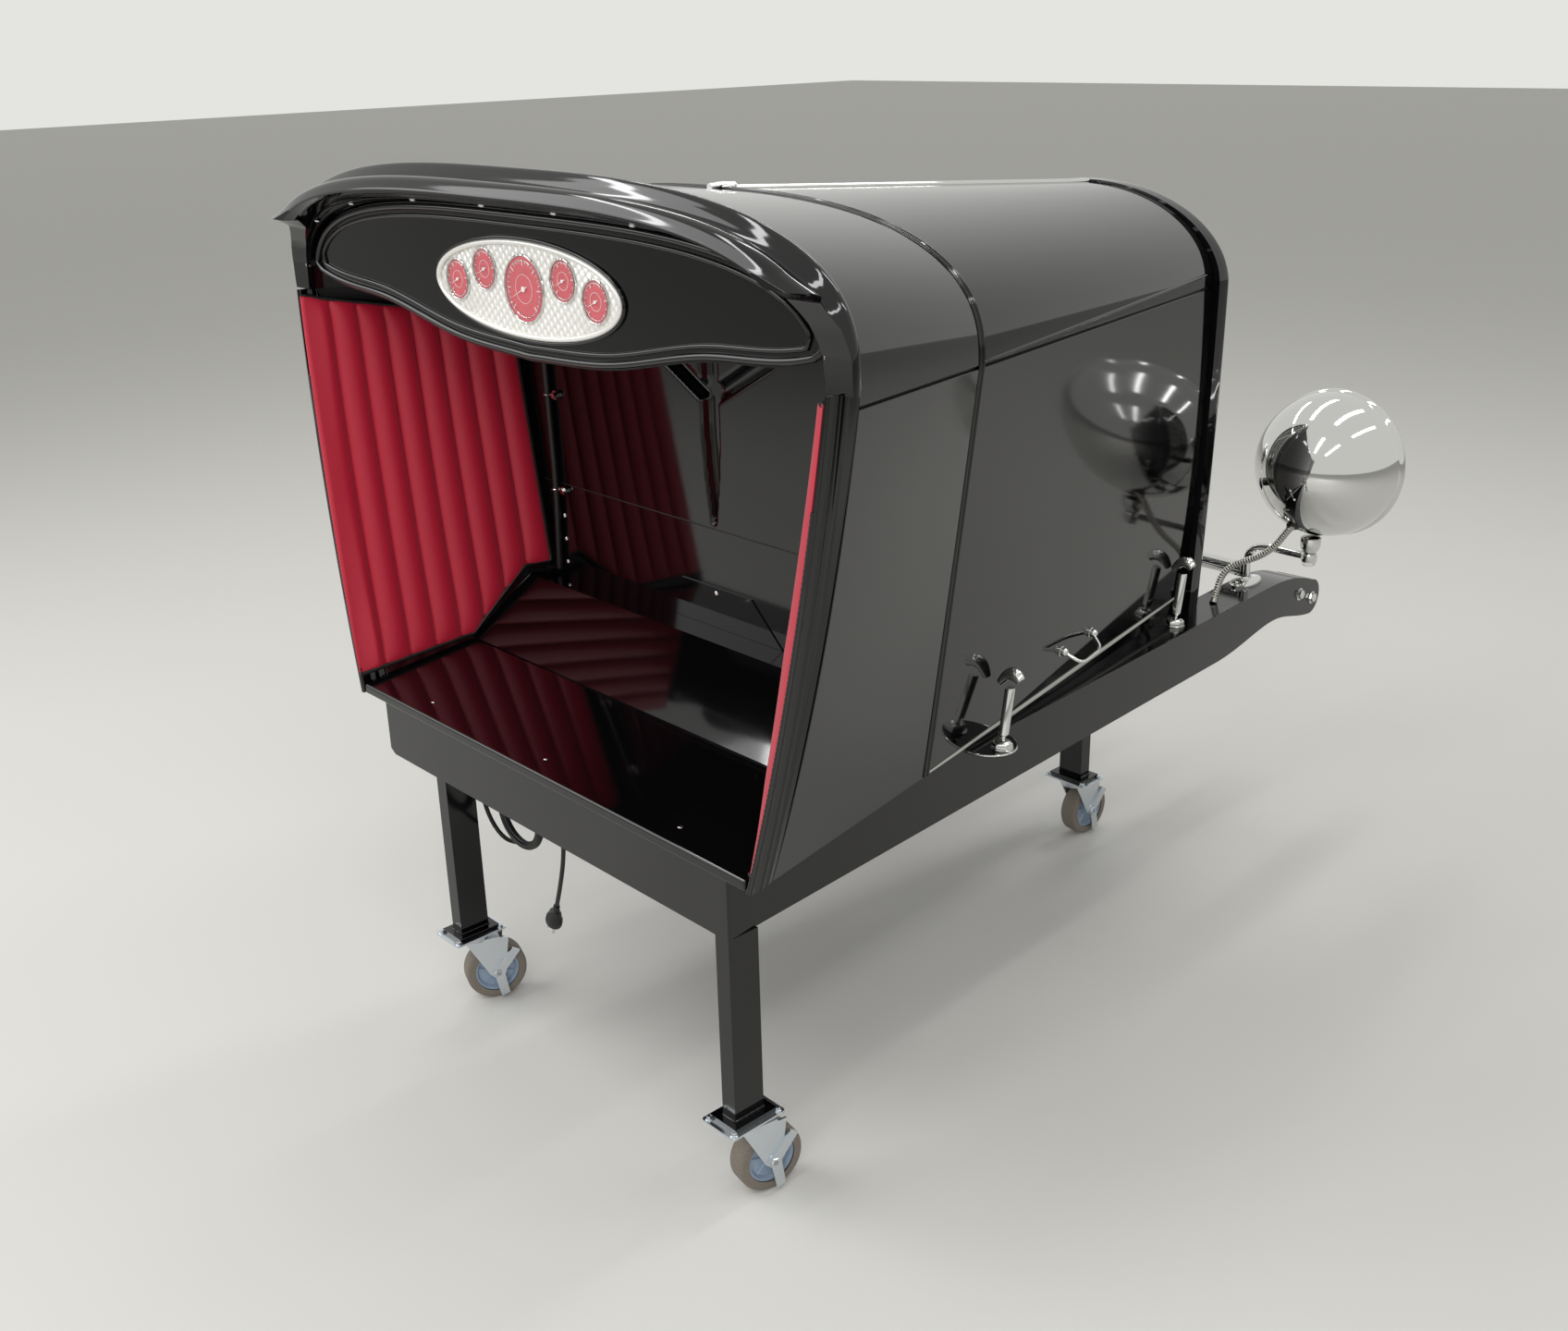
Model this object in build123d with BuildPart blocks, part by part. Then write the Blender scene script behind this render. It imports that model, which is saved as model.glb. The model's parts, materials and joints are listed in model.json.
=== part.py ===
"""Rolling display stand made from the front half of an open 1930s style car body.

Frame: +X to the car's right, +Y forward to the grille, +Z up, in millimetres.
The origin is on the floor, under the middle of the overall box.
A station is a distance forward of the rear face of the chassis; at(s) gives its Y.
"""
from build123d import *
import math
import os

os.makedirs("parts", exist_ok=True)

# ---------------------------------------------------------------- driving sizes
overall_length = 1652.0     # cowl lip to the tips of the frame horns
lip_overhang = 12.0         # cowl lip behind the chassis
sheet = 4.0                 # body panels
gap = 0.3                   # between neighbouring body panels

wheel_diameter = 100.0
wheel_width = 32.0
caster_trail = 33.0
caster_height = 128.0       # floor to the top of the zinc plate
adapter_thickness = 6.0
leg_width = 25.4            # the legs are one inch by two inch tube
leg_depth = 50.8
tube_wall = 2.5

rail_bottom = 411.0
rail_top = 503.0
rail_half_width = 413.0     # outer faces at the rear end
rail_taper = 4.63           # degrees, each side
rail_sheet = 5.0
top_flange = 75.0
bottom_flange = 40.0
apron_sheet = 5.0
crossmember_height = 50.0
crossmember_depth = 50.0
front_crossmember_station = 1165.0

seam_station = 388.0        # cowl to hood
nose_station = 1221.0       # hood to grille shell
post_station = 60.0         # the cowl panels start here above the crease
post_foot_station = 34.0    # and here at the rails: the rear edge leans forward
post_depth = 44.0           # along the car, at the foot
post_top_depth = 37.0
post_sheet = 3.0
post_foot_step = 7.0        # the rear corner stands outside the cowl skin by this
post_top_step = -13.0
firewall_station = 350.0
dash_station = 50.0

apron_y = -overall_length / 2 + lip_overhang


def at(station):
    """Y of a station."""
    return apron_y + station


def station_plane(station):
    """Upright plane across the car; its local axes are +X and +Z."""
    return Plane(origin=(0, at(station), 0), x_dir=(1, 0, 0), z_dir=(0, -1, 0))


def side_plane(x=0.0):
    """Upright plane along the car; its local axes are +Y and +Z."""
    return Plane(origin=(x, 0, 0), x_dir=(0, 1, 0), z_dir=(1, 0, 0))


# Body sections: bottom half width and height, crease half width and height, top height,
# outward bow of the side, squareness and flare of the arch above the crease
cowl_rear = (457.0, rail_top, 592.0, 1113.0, 1312.0, 14.0, 3.05, 6.0)
cowl_front = (393.0, rail_top, 479.0, 1093.0, 1279.0, 1.0, 2.6, 0.0)
hood_front = (244.0, rail_top, 263.0, 1072.0, 1224.0, 8.0, 2.0, 0.0)
post_top_height = cowl_rear[3] + 15


def between(a, b, t):
    """Section a fraction t of the way from section a to section b."""
    return tuple(p + (q - p) * t for p, q in zip(a, b))


def cowl_section(station):
    """Section of the cowl at a station."""
    return between(cowl_rear, cowl_front, (station - post_station) / (seam_station - post_station))


def hood_section(station):
    """Section of the hood at a station."""
    return between(cowl_front, hood_front, (station - seam_station) / (nose_station - seam_station))


arch_steps = (0, 0.05, 0.14, 0.27, 0.42, 0.58, 0.73, 0.85, 0.94, 0.985, 1)


def arch(section, inset=0.0, base=None):
    """Points of the right half of an arch, from the crease (or a base height) up to the centre."""
    _, _, half, low, top, _, power, flare = section
    half, rise = half - inset, top - low - inset
    start = 0.0 if base is None else math.asin(((base - low) / rise) ** (power / 2))
    points = []
    for step in arch_steps:
        turn = start + (math.pi / 2 - start) * step
        up = math.sin(turn) ** (2 / power)
        out = max(math.cos(turn), 0.0) ** (2 / power) if step < 1 else 0.0
        points.append(((half + flare * up) * out, low + rise * up))
    return points


def arch_edge(points):
    """Smooth edge through the points of an arch, level at the centre."""
    Spline(*points, tangents=((0.0, 1.0), (-1.0, 0.0)))


def arch_return(points):
    """The same edge drawn from the centre back to the crease."""
    Spline(*reversed(points), tangents=((1.0, 0.0), (0.0, -1.0)))


def top_skin(section, inset, thickness):
    """Right half of an arched top panel, from the centre line down to the crease."""
    outer, inner = arch(section, inset), arch(section, inset + thickness)
    arch_edge(outer)
    Line(outer[-1], inner[-1])
    arch_return(inner)
    Line(inner[0], outer[0])


def bowed(lower, upper, bow):
    """Bowed edge of a side panel."""
    ThreePointArc(lower, ((lower[0] + upper[0]) / 2 + bow, (lower[1] + upper[1]) / 2), upper)


def side_skin(section, inset, thickness, below=0.0):
    """Right side panel, from the crease down to the bottom edge."""
    xb, zb, xc, zc, _, bow, _, _ = section
    lower = (xb - inset, zb)
    upper = (xc - inset, zc - below)
    bowed(lower, upper, bow)
    Line(upper, (upper[0] - thickness, upper[1]))
    bowed((lower[0] - thickness, lower[1]), (upper[0] - thickness, upper[1]), bow)
    Line((lower[0] - thickness, lower[1]), lower)


def cavity_outline(section, inset):
    """Half outline of the space inside the skins, closed on the centre line."""
    xb, zb, xc, zc, _, bow, _, _ = section
    edge = arch(section, inset)
    Line((0, zb), (xb - inset, zb))
    bowed((xb - inset, zb), edge[0], bow)
    arch_edge(edge)
    Line(edge[-1], (0, zb))


def save(builder, label):
    """Name a finished piece and write its file."""
    builder.part.label = label
    export_step(builder.part, f"parts/{label}.step")


def save_pair(builder, label):
    """Write a right hand piece and its mirror image on the left."""
    save(builder, f"{label}_right")
    with BuildPart() as other:
        mirror(builder.part, about=Plane.YZ)
    save(other, f"{label}_left")


# ------------------------------------------------------------------ frame rails
horn_tip = overall_length - lip_overhang
rail_cos = math.cos(math.radians(rail_taper))
rail_sin = math.sin(math.radians(rail_taper))
rail_length = (horn_tip - apron_sheet) / rail_cos
rail_plane = Plane(
    origin=(rail_half_width, at(apron_sheet), 0),
    x_dir=(-rail_sin, rail_cos, 0),
    z_dir=(rail_cos, rail_sin, 0),
)
horn_rise_start = horn_tip - 390.0
horn_crown = horn_tip - 215.0
horn_under = (horn_tip - 160.0, rail_bottom + 18.0)
horn_over = (horn_tip - 95.0, rail_top - 12.0)
horn_nose_radius = 34.0
nose_x = rail_length - horn_nose_radius
nose_z = rail_bottom + 26.0


def rail_outline(inset):
    """Side view of a rail: straight at the rear, its horn curving down to a round tip."""
    r = horn_nose_radius - inset
    Line((0, rail_bottom + inset), (horn_rise_start, rail_bottom + inset))
    Spline(
        (horn_rise_start, rail_bottom + inset),
        (horn_under[0], horn_under[1] + inset),
        (nose_x, nose_z - r),
        tangents=((1, 0.02), (1, -0.10)),
    )
    ThreePointArc((nose_x, nose_z - r), (nose_x + r, nose_z), (nose_x, nose_z + r))
    Spline(
        (nose_x, nose_z + r),
        (horn_over[0], horn_over[1] - inset),
        (horn_crown, rail_top - inset),
        tangents=((-1, 0.42), (-1, 0.0)),
    )
    Line((horn_crown, rail_top - inset), (0, rail_top - inset))
    Line((0, rail_top - inset), (0, rail_bottom + inset))


with BuildPart() as frame_rail:
    with BuildSketch(rail_plane):
        with BuildLine():
            rail_outline(0)
        make_face()
    extrude(amount=-top_flange)
    with BuildSketch(rail_plane.offset(-rail_sheet)):
        with BuildLine():
            rail_outline(rail_sheet)
        make_face()
    extrude(amount=-top_flange, mode=Mode.SUBTRACT)
    with BuildSketch(rail_plane.offset(-bottom_flange)):
        with Locations((rail_length / 2, rail_bottom + 20)):
            Rectangle(rail_length * 1.1, 60)
    extrude(amount=-top_flange, mode=Mode.SUBTRACT)
    with BuildSketch(station_plane(apron_sheet)):
        with Locations((0, (rail_top + rail_bottom) / 2)):
            Rectangle(overall_length, overall_length)
    extrude(amount=60, mode=Mode.SUBTRACT)
save_pair(frame_rail, "frame_rail")

# ----------------------------------------------------- rear apron, crossmembers
apron_corner = (12.0, 8.0)
with BuildPart() as rear_apron:
    with BuildSketch(station_plane(0)):
        with BuildLine():
            Polyline(
                (-rail_half_width, rail_top),
                (rail_half_width, rail_top),
                (rail_half_width, rail_bottom),
                (-rail_half_width + apron_corner[0], rail_bottom),
                (-rail_half_width, rail_bottom + apron_corner[1]),
                close=True,
            )
        make_face()
    extrude(amount=-apron_sheet)
save(rear_apron, "rear_apron")



def rail_inner(station):
    """Half width between the bottom flanges at a station."""
    return rail_half_width - (station - apron_sheet) * rail_sin / rail_cos - bottom_flange / rail_cos


for name, start in (("rear_crossmember", apron_sheet), ("front_crossmember", front_crossmember_station)):
    end = start + crossmember_depth
    with BuildPart() as crossmember:
        with BuildSketch(side_plane()):
            with Locations((at((start + end) / 2), rail_bottom + crossmember_height / 2)):
                Rectangle(crossmember_depth, crossmember_height)
                Rectangle(crossmember_depth - 2 * tube_wall, crossmember_height - 2 * tube_wall, mode=Mode.SUBTRACT)
        extrude(amount=rail_half_width, both=True)
        with BuildSketch(Plane.XY.offset(rail_bottom)):
            with BuildLine():
                Polyline(
                    (rail_inner(start) - gap, at(start)),
                    (rail_inner(end) - gap, at(end)),
                    (gap - rail_inner(end), at(end)),
                    (gap - rail_inner(start), at(start)),
                    close=True,
                )
            make_face()
        extrude(amount=crossmember_height, mode=Mode.INTERSECT)
    save(crossmember, name)

# ------------------------------------------------------------- legs and casters
leg_bottom = caster_height + adapter_thickness
adapter = (74.0, 52.0)
plate_size = (94.0, 66.0)
plate_thickness = 3.0
pin_clearance = 0.05
kingpin_radius = 5.0
race_radius = 26.0
race_height = 9.0
fork_sheet = 3.0
fork_inside = wheel_width + 4.0
axle_radius = 4.0
axle_height = wheel_diameter / 2
hub_radius = 36.0
tread_edge = 4.0
fork_top = caster_height - plate_thickness - race_height - 1.0

legs = {
    "rear_right": (rail_half_width - leg_width / 2, leg_depth / 2, 90),
    "rear_left": (-274.0, apron_sheet + leg_depth / 2, 90),
    "front": (62.0, front_crossmember_station + leg_width / 2, 0),
}
trail_angles = {"rear_right": 80, "rear_left": 70, "front": 88}

for name, (leg_x, leg_station, turn) in legs.items():
    foot = Location((leg_x, at(leg_station), 0), (0, 0, turn))
    with BuildPart() as leg:
        with BuildSketch(Plane(foot).offset(leg_bottom)):
            Rectangle(leg_depth, leg_width)
            Rectangle(leg_depth - 2 * tube_wall, leg_width - 2 * tube_wall, mode=Mode.SUBTRACT)
        extrude(amount=rail_bottom - leg_bottom)
        with BuildSketch(Plane(foot).offset(caster_height)):
            Rectangle(*adapter)
        extrude(amount=adapter_thickness)
    save(leg, f"leg_{name}")

    with BuildPart() as plate:
        with BuildSketch(Plane(foot).offset(caster_height - plate_thickness)):
            RectangleRounded(plate_size[0], plate_size[1], 5)
        extrude(amount=plate_thickness)
        with BuildSketch(Plane(foot).offset(caster_height - plate_thickness)):
            Circle(race_radius)
        extrude(amount=-race_height)
        with BuildSketch(Plane(foot).offset(caster_height - plate_thickness - race_height)):
            Circle(kingpin_radius)
        extrude(amount=-(fork_sheet + 3))
    save(plate, f"caster_plate_{name}")

    swivel = Location((leg_x, at(leg_station), 0), (0, 0, trail_angles[name]))
    swivel_plane = Plane(swivel)
    fork_side = Plane(
        origin=swivel_plane.origin, x_dir=swivel_plane.x_dir, z_dir=-swivel_plane.y_dir
    )
    with BuildPart() as fork:
        with BuildSketch(swivel_plane.offset(fork_top - fork_sheet)):
            Circle(race_radius - 1)
            with Locations((caster_trail / 2, 0)):
                Rectangle(caster_trail + 16, fork_inside + 2 * fork_sheet)
            Circle(kingpin_radius + pin_clearance, mode=Mode.SUBTRACT)
        extrude(amount=fork_sheet)
        for hand in (1, -1):
            with BuildSketch(fork_side.offset(hand * (fork_inside / 2 + fork_sheet / 2))):
                with BuildLine():
                    Polyline(
                        (-14, fork_top - fork_sheet),
                        (caster_trail + 22, fork_top - fork_sheet),
                        (caster_trail + 13, axle_height - 4),
                        (caster_trail, axle_height - 13),
                        (caster_trail - 13, axle_height - 2),
                        close=True,
                    )
                make_face()
            extrude(amount=fork_sheet / 2, both=True)
        with BuildSketch(fork_side):
            with Locations((caster_trail, axle_height)):
                Circle(axle_radius)
        extrude(amount=fork_inside / 2 + fork_sheet + 6, both=True)
        with BuildSketch(fork_side.offset(fork_inside / 2 + fork_sheet)):
            with Locations((caster_trail, axle_height)):
                RegularPolygon(8, 6)
            with BuildLine():
                Polyline(
                    (caster_trail + 38, axle_height + 34),
                    (caster_trail + 26, axle_height + 42),
                    (caster_trail - 8, axle_height + 4),
                    (caster_trail + 2, axle_height - 44),
                    (caster_trail + 16, axle_height - 40),
                    (caster_trail + 10, axle_height),
                    close=True,
                )
            make_face()
        extrude(amount=4)
    save(fork, f"caster_fork_{name}")

    with BuildPart() as hub:
        with BuildSketch(fork_side):
            with Locations((caster_trail, axle_height)):
                Circle(hub_radius)
                Circle(axle_radius + pin_clearance, mode=Mode.SUBTRACT)
        extrude(amount=wheel_width / 2 - 2, both=True)
    save(hub, f"caster_hub_{name}")

    with BuildPart() as tread:
        with BuildSketch(fork_side):
            with Locations((caster_trail, axle_height)):
                Circle(wheel_diameter / 2)
                Circle(hub_radius, mode=Mode.SUBTRACT)
        extrude(amount=wheel_width / 2, both=True)
        chamfer(tread.edges().filter_by(GeomType.CIRCLE).group_by(SortBy.RADIUS)[-1], tread_edge)
    save(tread, f"caster_tread_{name}")

# ------------------------------------------------------------------ floor, wall
floor_thickness = 16.0
lip_station = -9.0
fold_station = 188.0
fold_height = rail_top + 49
toe_station = 302.0
toe_height = rail_top + 134
board_thickness = 6.0
lip_half_width = cowl_rear[0] + post_foot_step - 4.0

board_gap = 0.9
with BuildPart() as cavity_tool:
    with BuildSketch(station_plane(post_station)):
        with BuildLine():
            cavity_outline(cowl_section(post_station), sheet + board_gap)
        make_face()
    with BuildSketch(station_plane(seam_station)):
        with BuildLine():
            cavity_outline(cowl_section(seam_station), sheet + board_gap)
        make_face()
    loft(ruled=True)
    mirror(about=Plane.YZ)

with BuildPart() as floor_panel:
    with BuildSketch(side_plane()):
        with BuildLine():
            Polyline(
                (at(lip_station), rail_top),
                (at(lip_station), rail_top + floor_thickness),
                (at(fold_station), fold_height),
                (at(fold_station), fold_height - floor_thickness),
                close=True,
            )
        make_face()
    extrude(amount=lip_half_width, both=True)
    inner = (cowl_rear[0] - 2 * post_sheet - gap, cowl_section(fold_station)[0] - sheet - gap)
    with BuildSketch(Plane.XY.offset(rail_top - 10)):
        with BuildLine():
            Polyline(
                (-lip_half_width, at(lip_station)),
                (lip_half_width, at(lip_station)),
                (inner[0], at(post_station)),
                (inner[1], at(fold_station)),
                (-inner[1], at(fold_station)),
                (-inner[0], at(post_station)),
                close=True,
            )
        make_face()
    extrude(amount=100, mode=Mode.INTERSECT)
save(floor_panel, "floor_panel")

with BuildPart() as toe_board:
    with BuildSketch(side_plane()):
        with BuildLine():
            Polyline(
                (at(fold_station), fold_height),
                (at(toe_station), toe_height),
                (at(firewall_station), toe_height),
                (at(firewall_station), toe_height - board_thickness),
                (at(toe_station) + 2, toe_height - board_thickness),
                (at(fold_station), fold_height - board_thickness - 1.5),
                close=True,
            )
        make_face()
    extrude(amount=lip_half_width, both=True)
    add(cavity_tool.part, mode=Mode.INTERSECT)
save(toe_board, "toe_board")

rib_depth = 20.0
rib_top = cowl_rear[3] + 37
rib_fork = cowl_rear[3] - 128
rib_point = cowl_rear[3] - 313
rib_half_width = 21.0


def rib_outline(inset):
    """Right half of the forked rib pressed into the firewall."""
    wide = rib_half_width - inset
    Polyline(
        (0, rib_point + inset),
        (7 - inset, rib_point + 4 + inset),
        (wide - 5, rib_point + 76),
        (wide, rib_fork - 40),
        (wide, rib_fork - inset),
        (wide + 118, rib_fork + 66 - inset),
        (wide + 106, rib_fork + 92),
        (wide, rib_fork + 30 + inset),
        (wide, rib_top - inset),
        (0, rib_top - inset),
        close=True,
    )


with BuildPart() as firewall:
    with BuildSketch(station_plane(firewall_station)):
        Rectangle(overall_length, 2 * overall_length)
    extrude(amount=-sheet)
    add(cavity_tool.part, mode=Mode.INTERSECT)
    for start, depth, inset, mode in (
        (firewall_station + sheet, rib_depth, 0.0, Mode.ADD),
        (firewall_station, rib_depth, sheet, Mode.SUBTRACT),
    ):
        with BuildSketch(station_plane(start)):
            with BuildLine():
                rib_outline(inset)
            make_face()
            mirror(about=Plane.YZ)
        extrude(amount=-depth, mode=mode)
save(firewall, "firewall")

with BuildPart() as firewall_cover:
    with BuildSketch(station_plane(firewall_station)):
        with BuildLine():
            Polyline(
                (-146, toe_height + gap),
                (146, toe_height + gap),
                (80, toe_height + 64),
                (-80, toe_height + 64),
                close=True,
            )
        make_face()
    extrude(amount=2)
save(firewall_cover, "firewall_cover")

# ------------------------------------------------------------------------- cowl
with BuildPart() as cowl_top:
    for station in (post_station, seam_station):
        with BuildSketch(station_plane(station)):
            with BuildLine():
                top_skin(cowl_section(station), 0, sheet)
            make_face()
    loft(ruled=True)
    mirror(about=Plane.YZ)
save(cowl_top, "cowl_top")

lean = (
    (at(post_foot_station), rail_top),
    (at(post_station), post_top_height),
)
with BuildPart() as cowl_side:
    for station in (post_foot_station - 6, seam_station):
        with BuildSketch(station_plane(station)):
            with BuildLine():
                side_skin(cowl_section(station), 0, sheet, below=gap)
            make_face()
    loft(ruled=True)
    with BuildSketch(side_plane()):
        with BuildLine():
            run = ((lean[1][0] - lean[0][0]) / (lean[1][1] - lean[0][1])) * 40
            Polyline(
                (lean[0][0] - run, lean[0][1] - 40),
                (lean[1][0] + run, lean[1][1] + 40),
                (lean[0][0] - 80, lean[1][1] + 40),
                (lean[0][0] - 80, lean[0][1] - 40),
                close=True,
            )
        make_face()
    extrude(amount=overall_length, mode=Mode.SUBTRACT)
save_pair(cowl_side, "cowl_side")

# The lip along the rear of the cowl: rolled edge, valley, ridge, run out into the cowl.
# station, outer half width and top, inner half width and top
lip_base = post_top_height + gap
lip_sections = (
    (-lip_overhang, 588.0, 1303.0, 580.0, 1298.0),
    (-5.0, 597.0, 1314.0, 573.0, 1295.0),
    (4.0, 602.0, 1318.0, 570.0, 1292.0),
    (13.0, 600.0, 1316.0, 568.0, 1289.0),
    (21.0, 596.0, 1313.0, 567.0, 1286.0),
    (29.0, 600.0, 1323.0, 566.0, 1284.0),
    (37.0, 606.0, 1332.0, 566.0, 1282.0),
    (45.0, 606.0, 1331.0, 566.0, 1281.0),
    (post_station - gap, cowl_rear[2] + 2, cowl_rear[4] + 4, 564.0, 1280.0),
)
lip_flare = 16.0
lip_inner_power = 3.3
# what is cut away behind each wing: station, height over the post
wing_cut = ((-22, 109), (3, 109), (9, 105), (21, 96), (31, 70), (35.5, 38), (36, -1), (-22, -1))
with BuildPart() as cowl_lip:
    for station, wide, top, inner_wide, inner_top in lip_sections:
        outer = arch((0, 0, wide, cowl_rear[3], top, 0, cowl_rear[6], lip_flare), 0, lip_base)
        inner = arch((0, 0, inner_wide, cowl_rear[3], inner_top, 0, lip_inner_power, 0), 0, lip_base)
        with BuildSketch(station_plane(station)):
            with BuildLine():
                arch_edge(outer)
                Line(outer[-1], inner[-1])
                arch_return(inner)
                Line(inner[0], outer[0])
            make_face()
    loft(ruled=True)
    with BuildSketch(side_plane()):
        with BuildLine():
            Polyline(*[(at(station), lip_base + z) for station, z in wing_cut], close=True)
        make_face()
    extrude(amount=overall_length, both=True, mode=Mode.SUBTRACT)
    mirror(about=Plane.YZ)
save(cowl_lip, "cowl_lip")

post_levels = (0.0, 0.25, 0.5, 0.75, 1.0)


def post_plan(level):
    """Plan of a door post at a fraction of its height: a stepped sheet."""
    low, high = 1 - level, level
    skin = cowl_rear[0] + 5 + (cowl_rear[2] - cowl_rear[0] - 3) * level + 4 * cowl_rear[5] * low * high
    corner = skin + post_foot_step * low + post_top_step * high
    front = post_foot_station * low + post_station * high - gap
    rear = front - post_depth * low - post_top_depth * high
    span = front - rear
    outer = (
        (corner, rear),
        (corner, rear + span * 0.54),
        (corner - 3, rear + span * 0.60),
        (corner - 3, rear + span * 0.68),
        (corner - 3 + (skin - corner + 3) * 0.6, rear + span * 0.80),
        (skin - 1, rear + span * 0.92),
        (skin, front),
    )
    inner = [(x - post_sheet, y) for x, y in reversed(outer)]
    Polyline(*[(x, at(y)) for x, y in (*outer, *inner)], close=True)


with BuildPart() as door_post:
    for level in post_levels:
        with BuildSketch(Plane.XY.offset(rail_top + (post_top_height - rail_top) * level)):
            with BuildLine():
                post_plan(level)
            make_face()
    loft(ruled=True)
save_pair(door_post, "door_post")

dash_thickness = 3.0
dash_low = (cowl_rear[3] - 25, cowl_rear[3] - 16, cowl_rear[3] + 17, cowl_rear[3] + 37)
dash_section = (0, 0, 564.2, cowl_rear[3], 1279.8, 0, lip_inner_power, 0)
bead_radius = 5.0


def dash_outline(inset):
    """Right half of the dash's outline: bowed lower edge, corner and arch."""
    edge = arch(dash_section, inset, cowl_rear[3] + 46 + inset)
    corner = (528 - inset, dash_low[3] + inset)
    Spline(
        (0, dash_low[0] + inset),
        (165, dash_low[1] + inset),
        (345, dash_low[2] + inset),
        corner,
        tangents=((1, 0), (1, 0.1)),
    )
    Line(corner, edge[0])
    Spline(*edge)
    Line(edge[-1], (0, dash_low[0] + inset))


with BuildPart() as dash_panel:
    for inset, start, depth, mode in (
        (0, dash_station + dash_thickness, bead_radius + dash_thickness, Mode.ADD),
        (4 + 2 * bead_radius, dash_station, bead_radius, Mode.SUBTRACT),
    ):
        with BuildSketch(station_plane(start)):
            with BuildLine():
                dash_outline(inset)
            make_face()
            mirror(about=Plane.YZ)
        extrude(amount=depth, mode=mode)
save(dash_panel, "dash_panel")

gauge_centre = (0.0, cowl_rear[3] + 67.0)
gauge_places = ((-156, 0, 27), (-89, 19, 27), (0, 1, 43), (87, 19, 27), (153, 0, 27))
with BuildPart() as gauge_panel:
    with BuildSketch(station_plane(dash_station)):
        with Locations(gauge_centre):
            Ellipse(212, 68)
    extrude(amount=2)
save(gauge_panel, "gauge_panel")

with BuildPart() as gauges:
    for x, z, r in gauge_places:
        with BuildSketch(station_plane(dash_station - 2)):
            with Locations((x, gauge_centre[1] + z)):
                Circle(r)
        extrude(amount=5)
save(gauges, "gauges")

# ------------------------------------------------------------------ trim panels
trim_thickness = 13.0
trim_start = post_foot_station - post_depth + 1
trim_end = firewall_station - 9
trim_rear = (465.0, rail_top, 584.5, cowl_rear[3] + 9, 0, cowl_rear[5] - 2, 2, 0)
near = cowl_section(trim_end)
trim_front = (near[0] - sheet - 2 * gap, rail_top, near[2] - sheet - 2 * gap, near[3], 0, near[5], 2, 0)
trim_top_rear = cowl_rear[3] + 7
trim_top_front = cowl_rear[3] - 55
with BuildPart() as trim_panel:
    for station, section in ((trim_start, trim_rear), (trim_end, trim_front)):
        with BuildSketch(station_plane(station)):
            with BuildLine():
                side_skin(section, 0, trim_thickness)
            make_face()
    loft(ruled=True)
    with BuildSketch(side_plane(cowl_front[0] / 2)):
        with BuildLine():
            Polyline(
                (at(trim_start), rail_top + floor_thickness + 8),
                (at(fold_station), fold_height + 7),
                (at(toe_station - 8), toe_height + 14),
                (at(trim_end), toe_height + 14),
                (at(trim_end), trim_top_front),
                (at(post_station - post_top_depth), trim_top_rear),
                close=True,
            )
        make_face()
    extrude(amount=400, mode=Mode.INTERSECT)
save_pair(trim_panel, "trim_panel")

# ------------------------------------------------------------------------- hood
hinge_radius = 5.0
hood_start = seam_station + 2.0
hood_end = nose_station
with BuildPart() as hood_top:
    for station in (hood_start, hood_end):
        with BuildSketch(station_plane(station)):
            with BuildLine():
                top_skin(hood_section(station), 0, sheet)
            make_face()
    loft(ruled=True)
    with BuildSketch(side_plane(-sheet)):
        with Locations((at((hood_start + hood_end) / 2), hood_front[4])):
            Rectangle(overall_length, overall_length)
    extrude(amount=sheet + hinge_radius + gap, mode=Mode.SUBTRACT)
save_pair(hood_top, "hood_top")

with BuildPart() as hood_side:
    for station in (hood_start, hood_end):
        with BuildSketch(station_plane(station)):
            with BuildLine():
                side_skin(hood_section(station), 0, sheet, below=gap)
            make_face()
    loft(ruled=True)
save_pair(hood_side, "hood_side")

hinge_start = (0, at(hood_start), hood_section(hood_start)[4])
hinge_end = (0, at(hood_end), hood_section(hood_end)[4])
hinge_direction = Vector(*hinge_end) - Vector(*hinge_start)
with BuildPart() as hood_hinge:
    with BuildSketch(Plane(origin=hinge_start, z_dir=hinge_direction)):
        Circle(hinge_radius)
    extrude(amount=hinge_direction.length)
save(hood_hinge, "hood_hinge")

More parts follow.
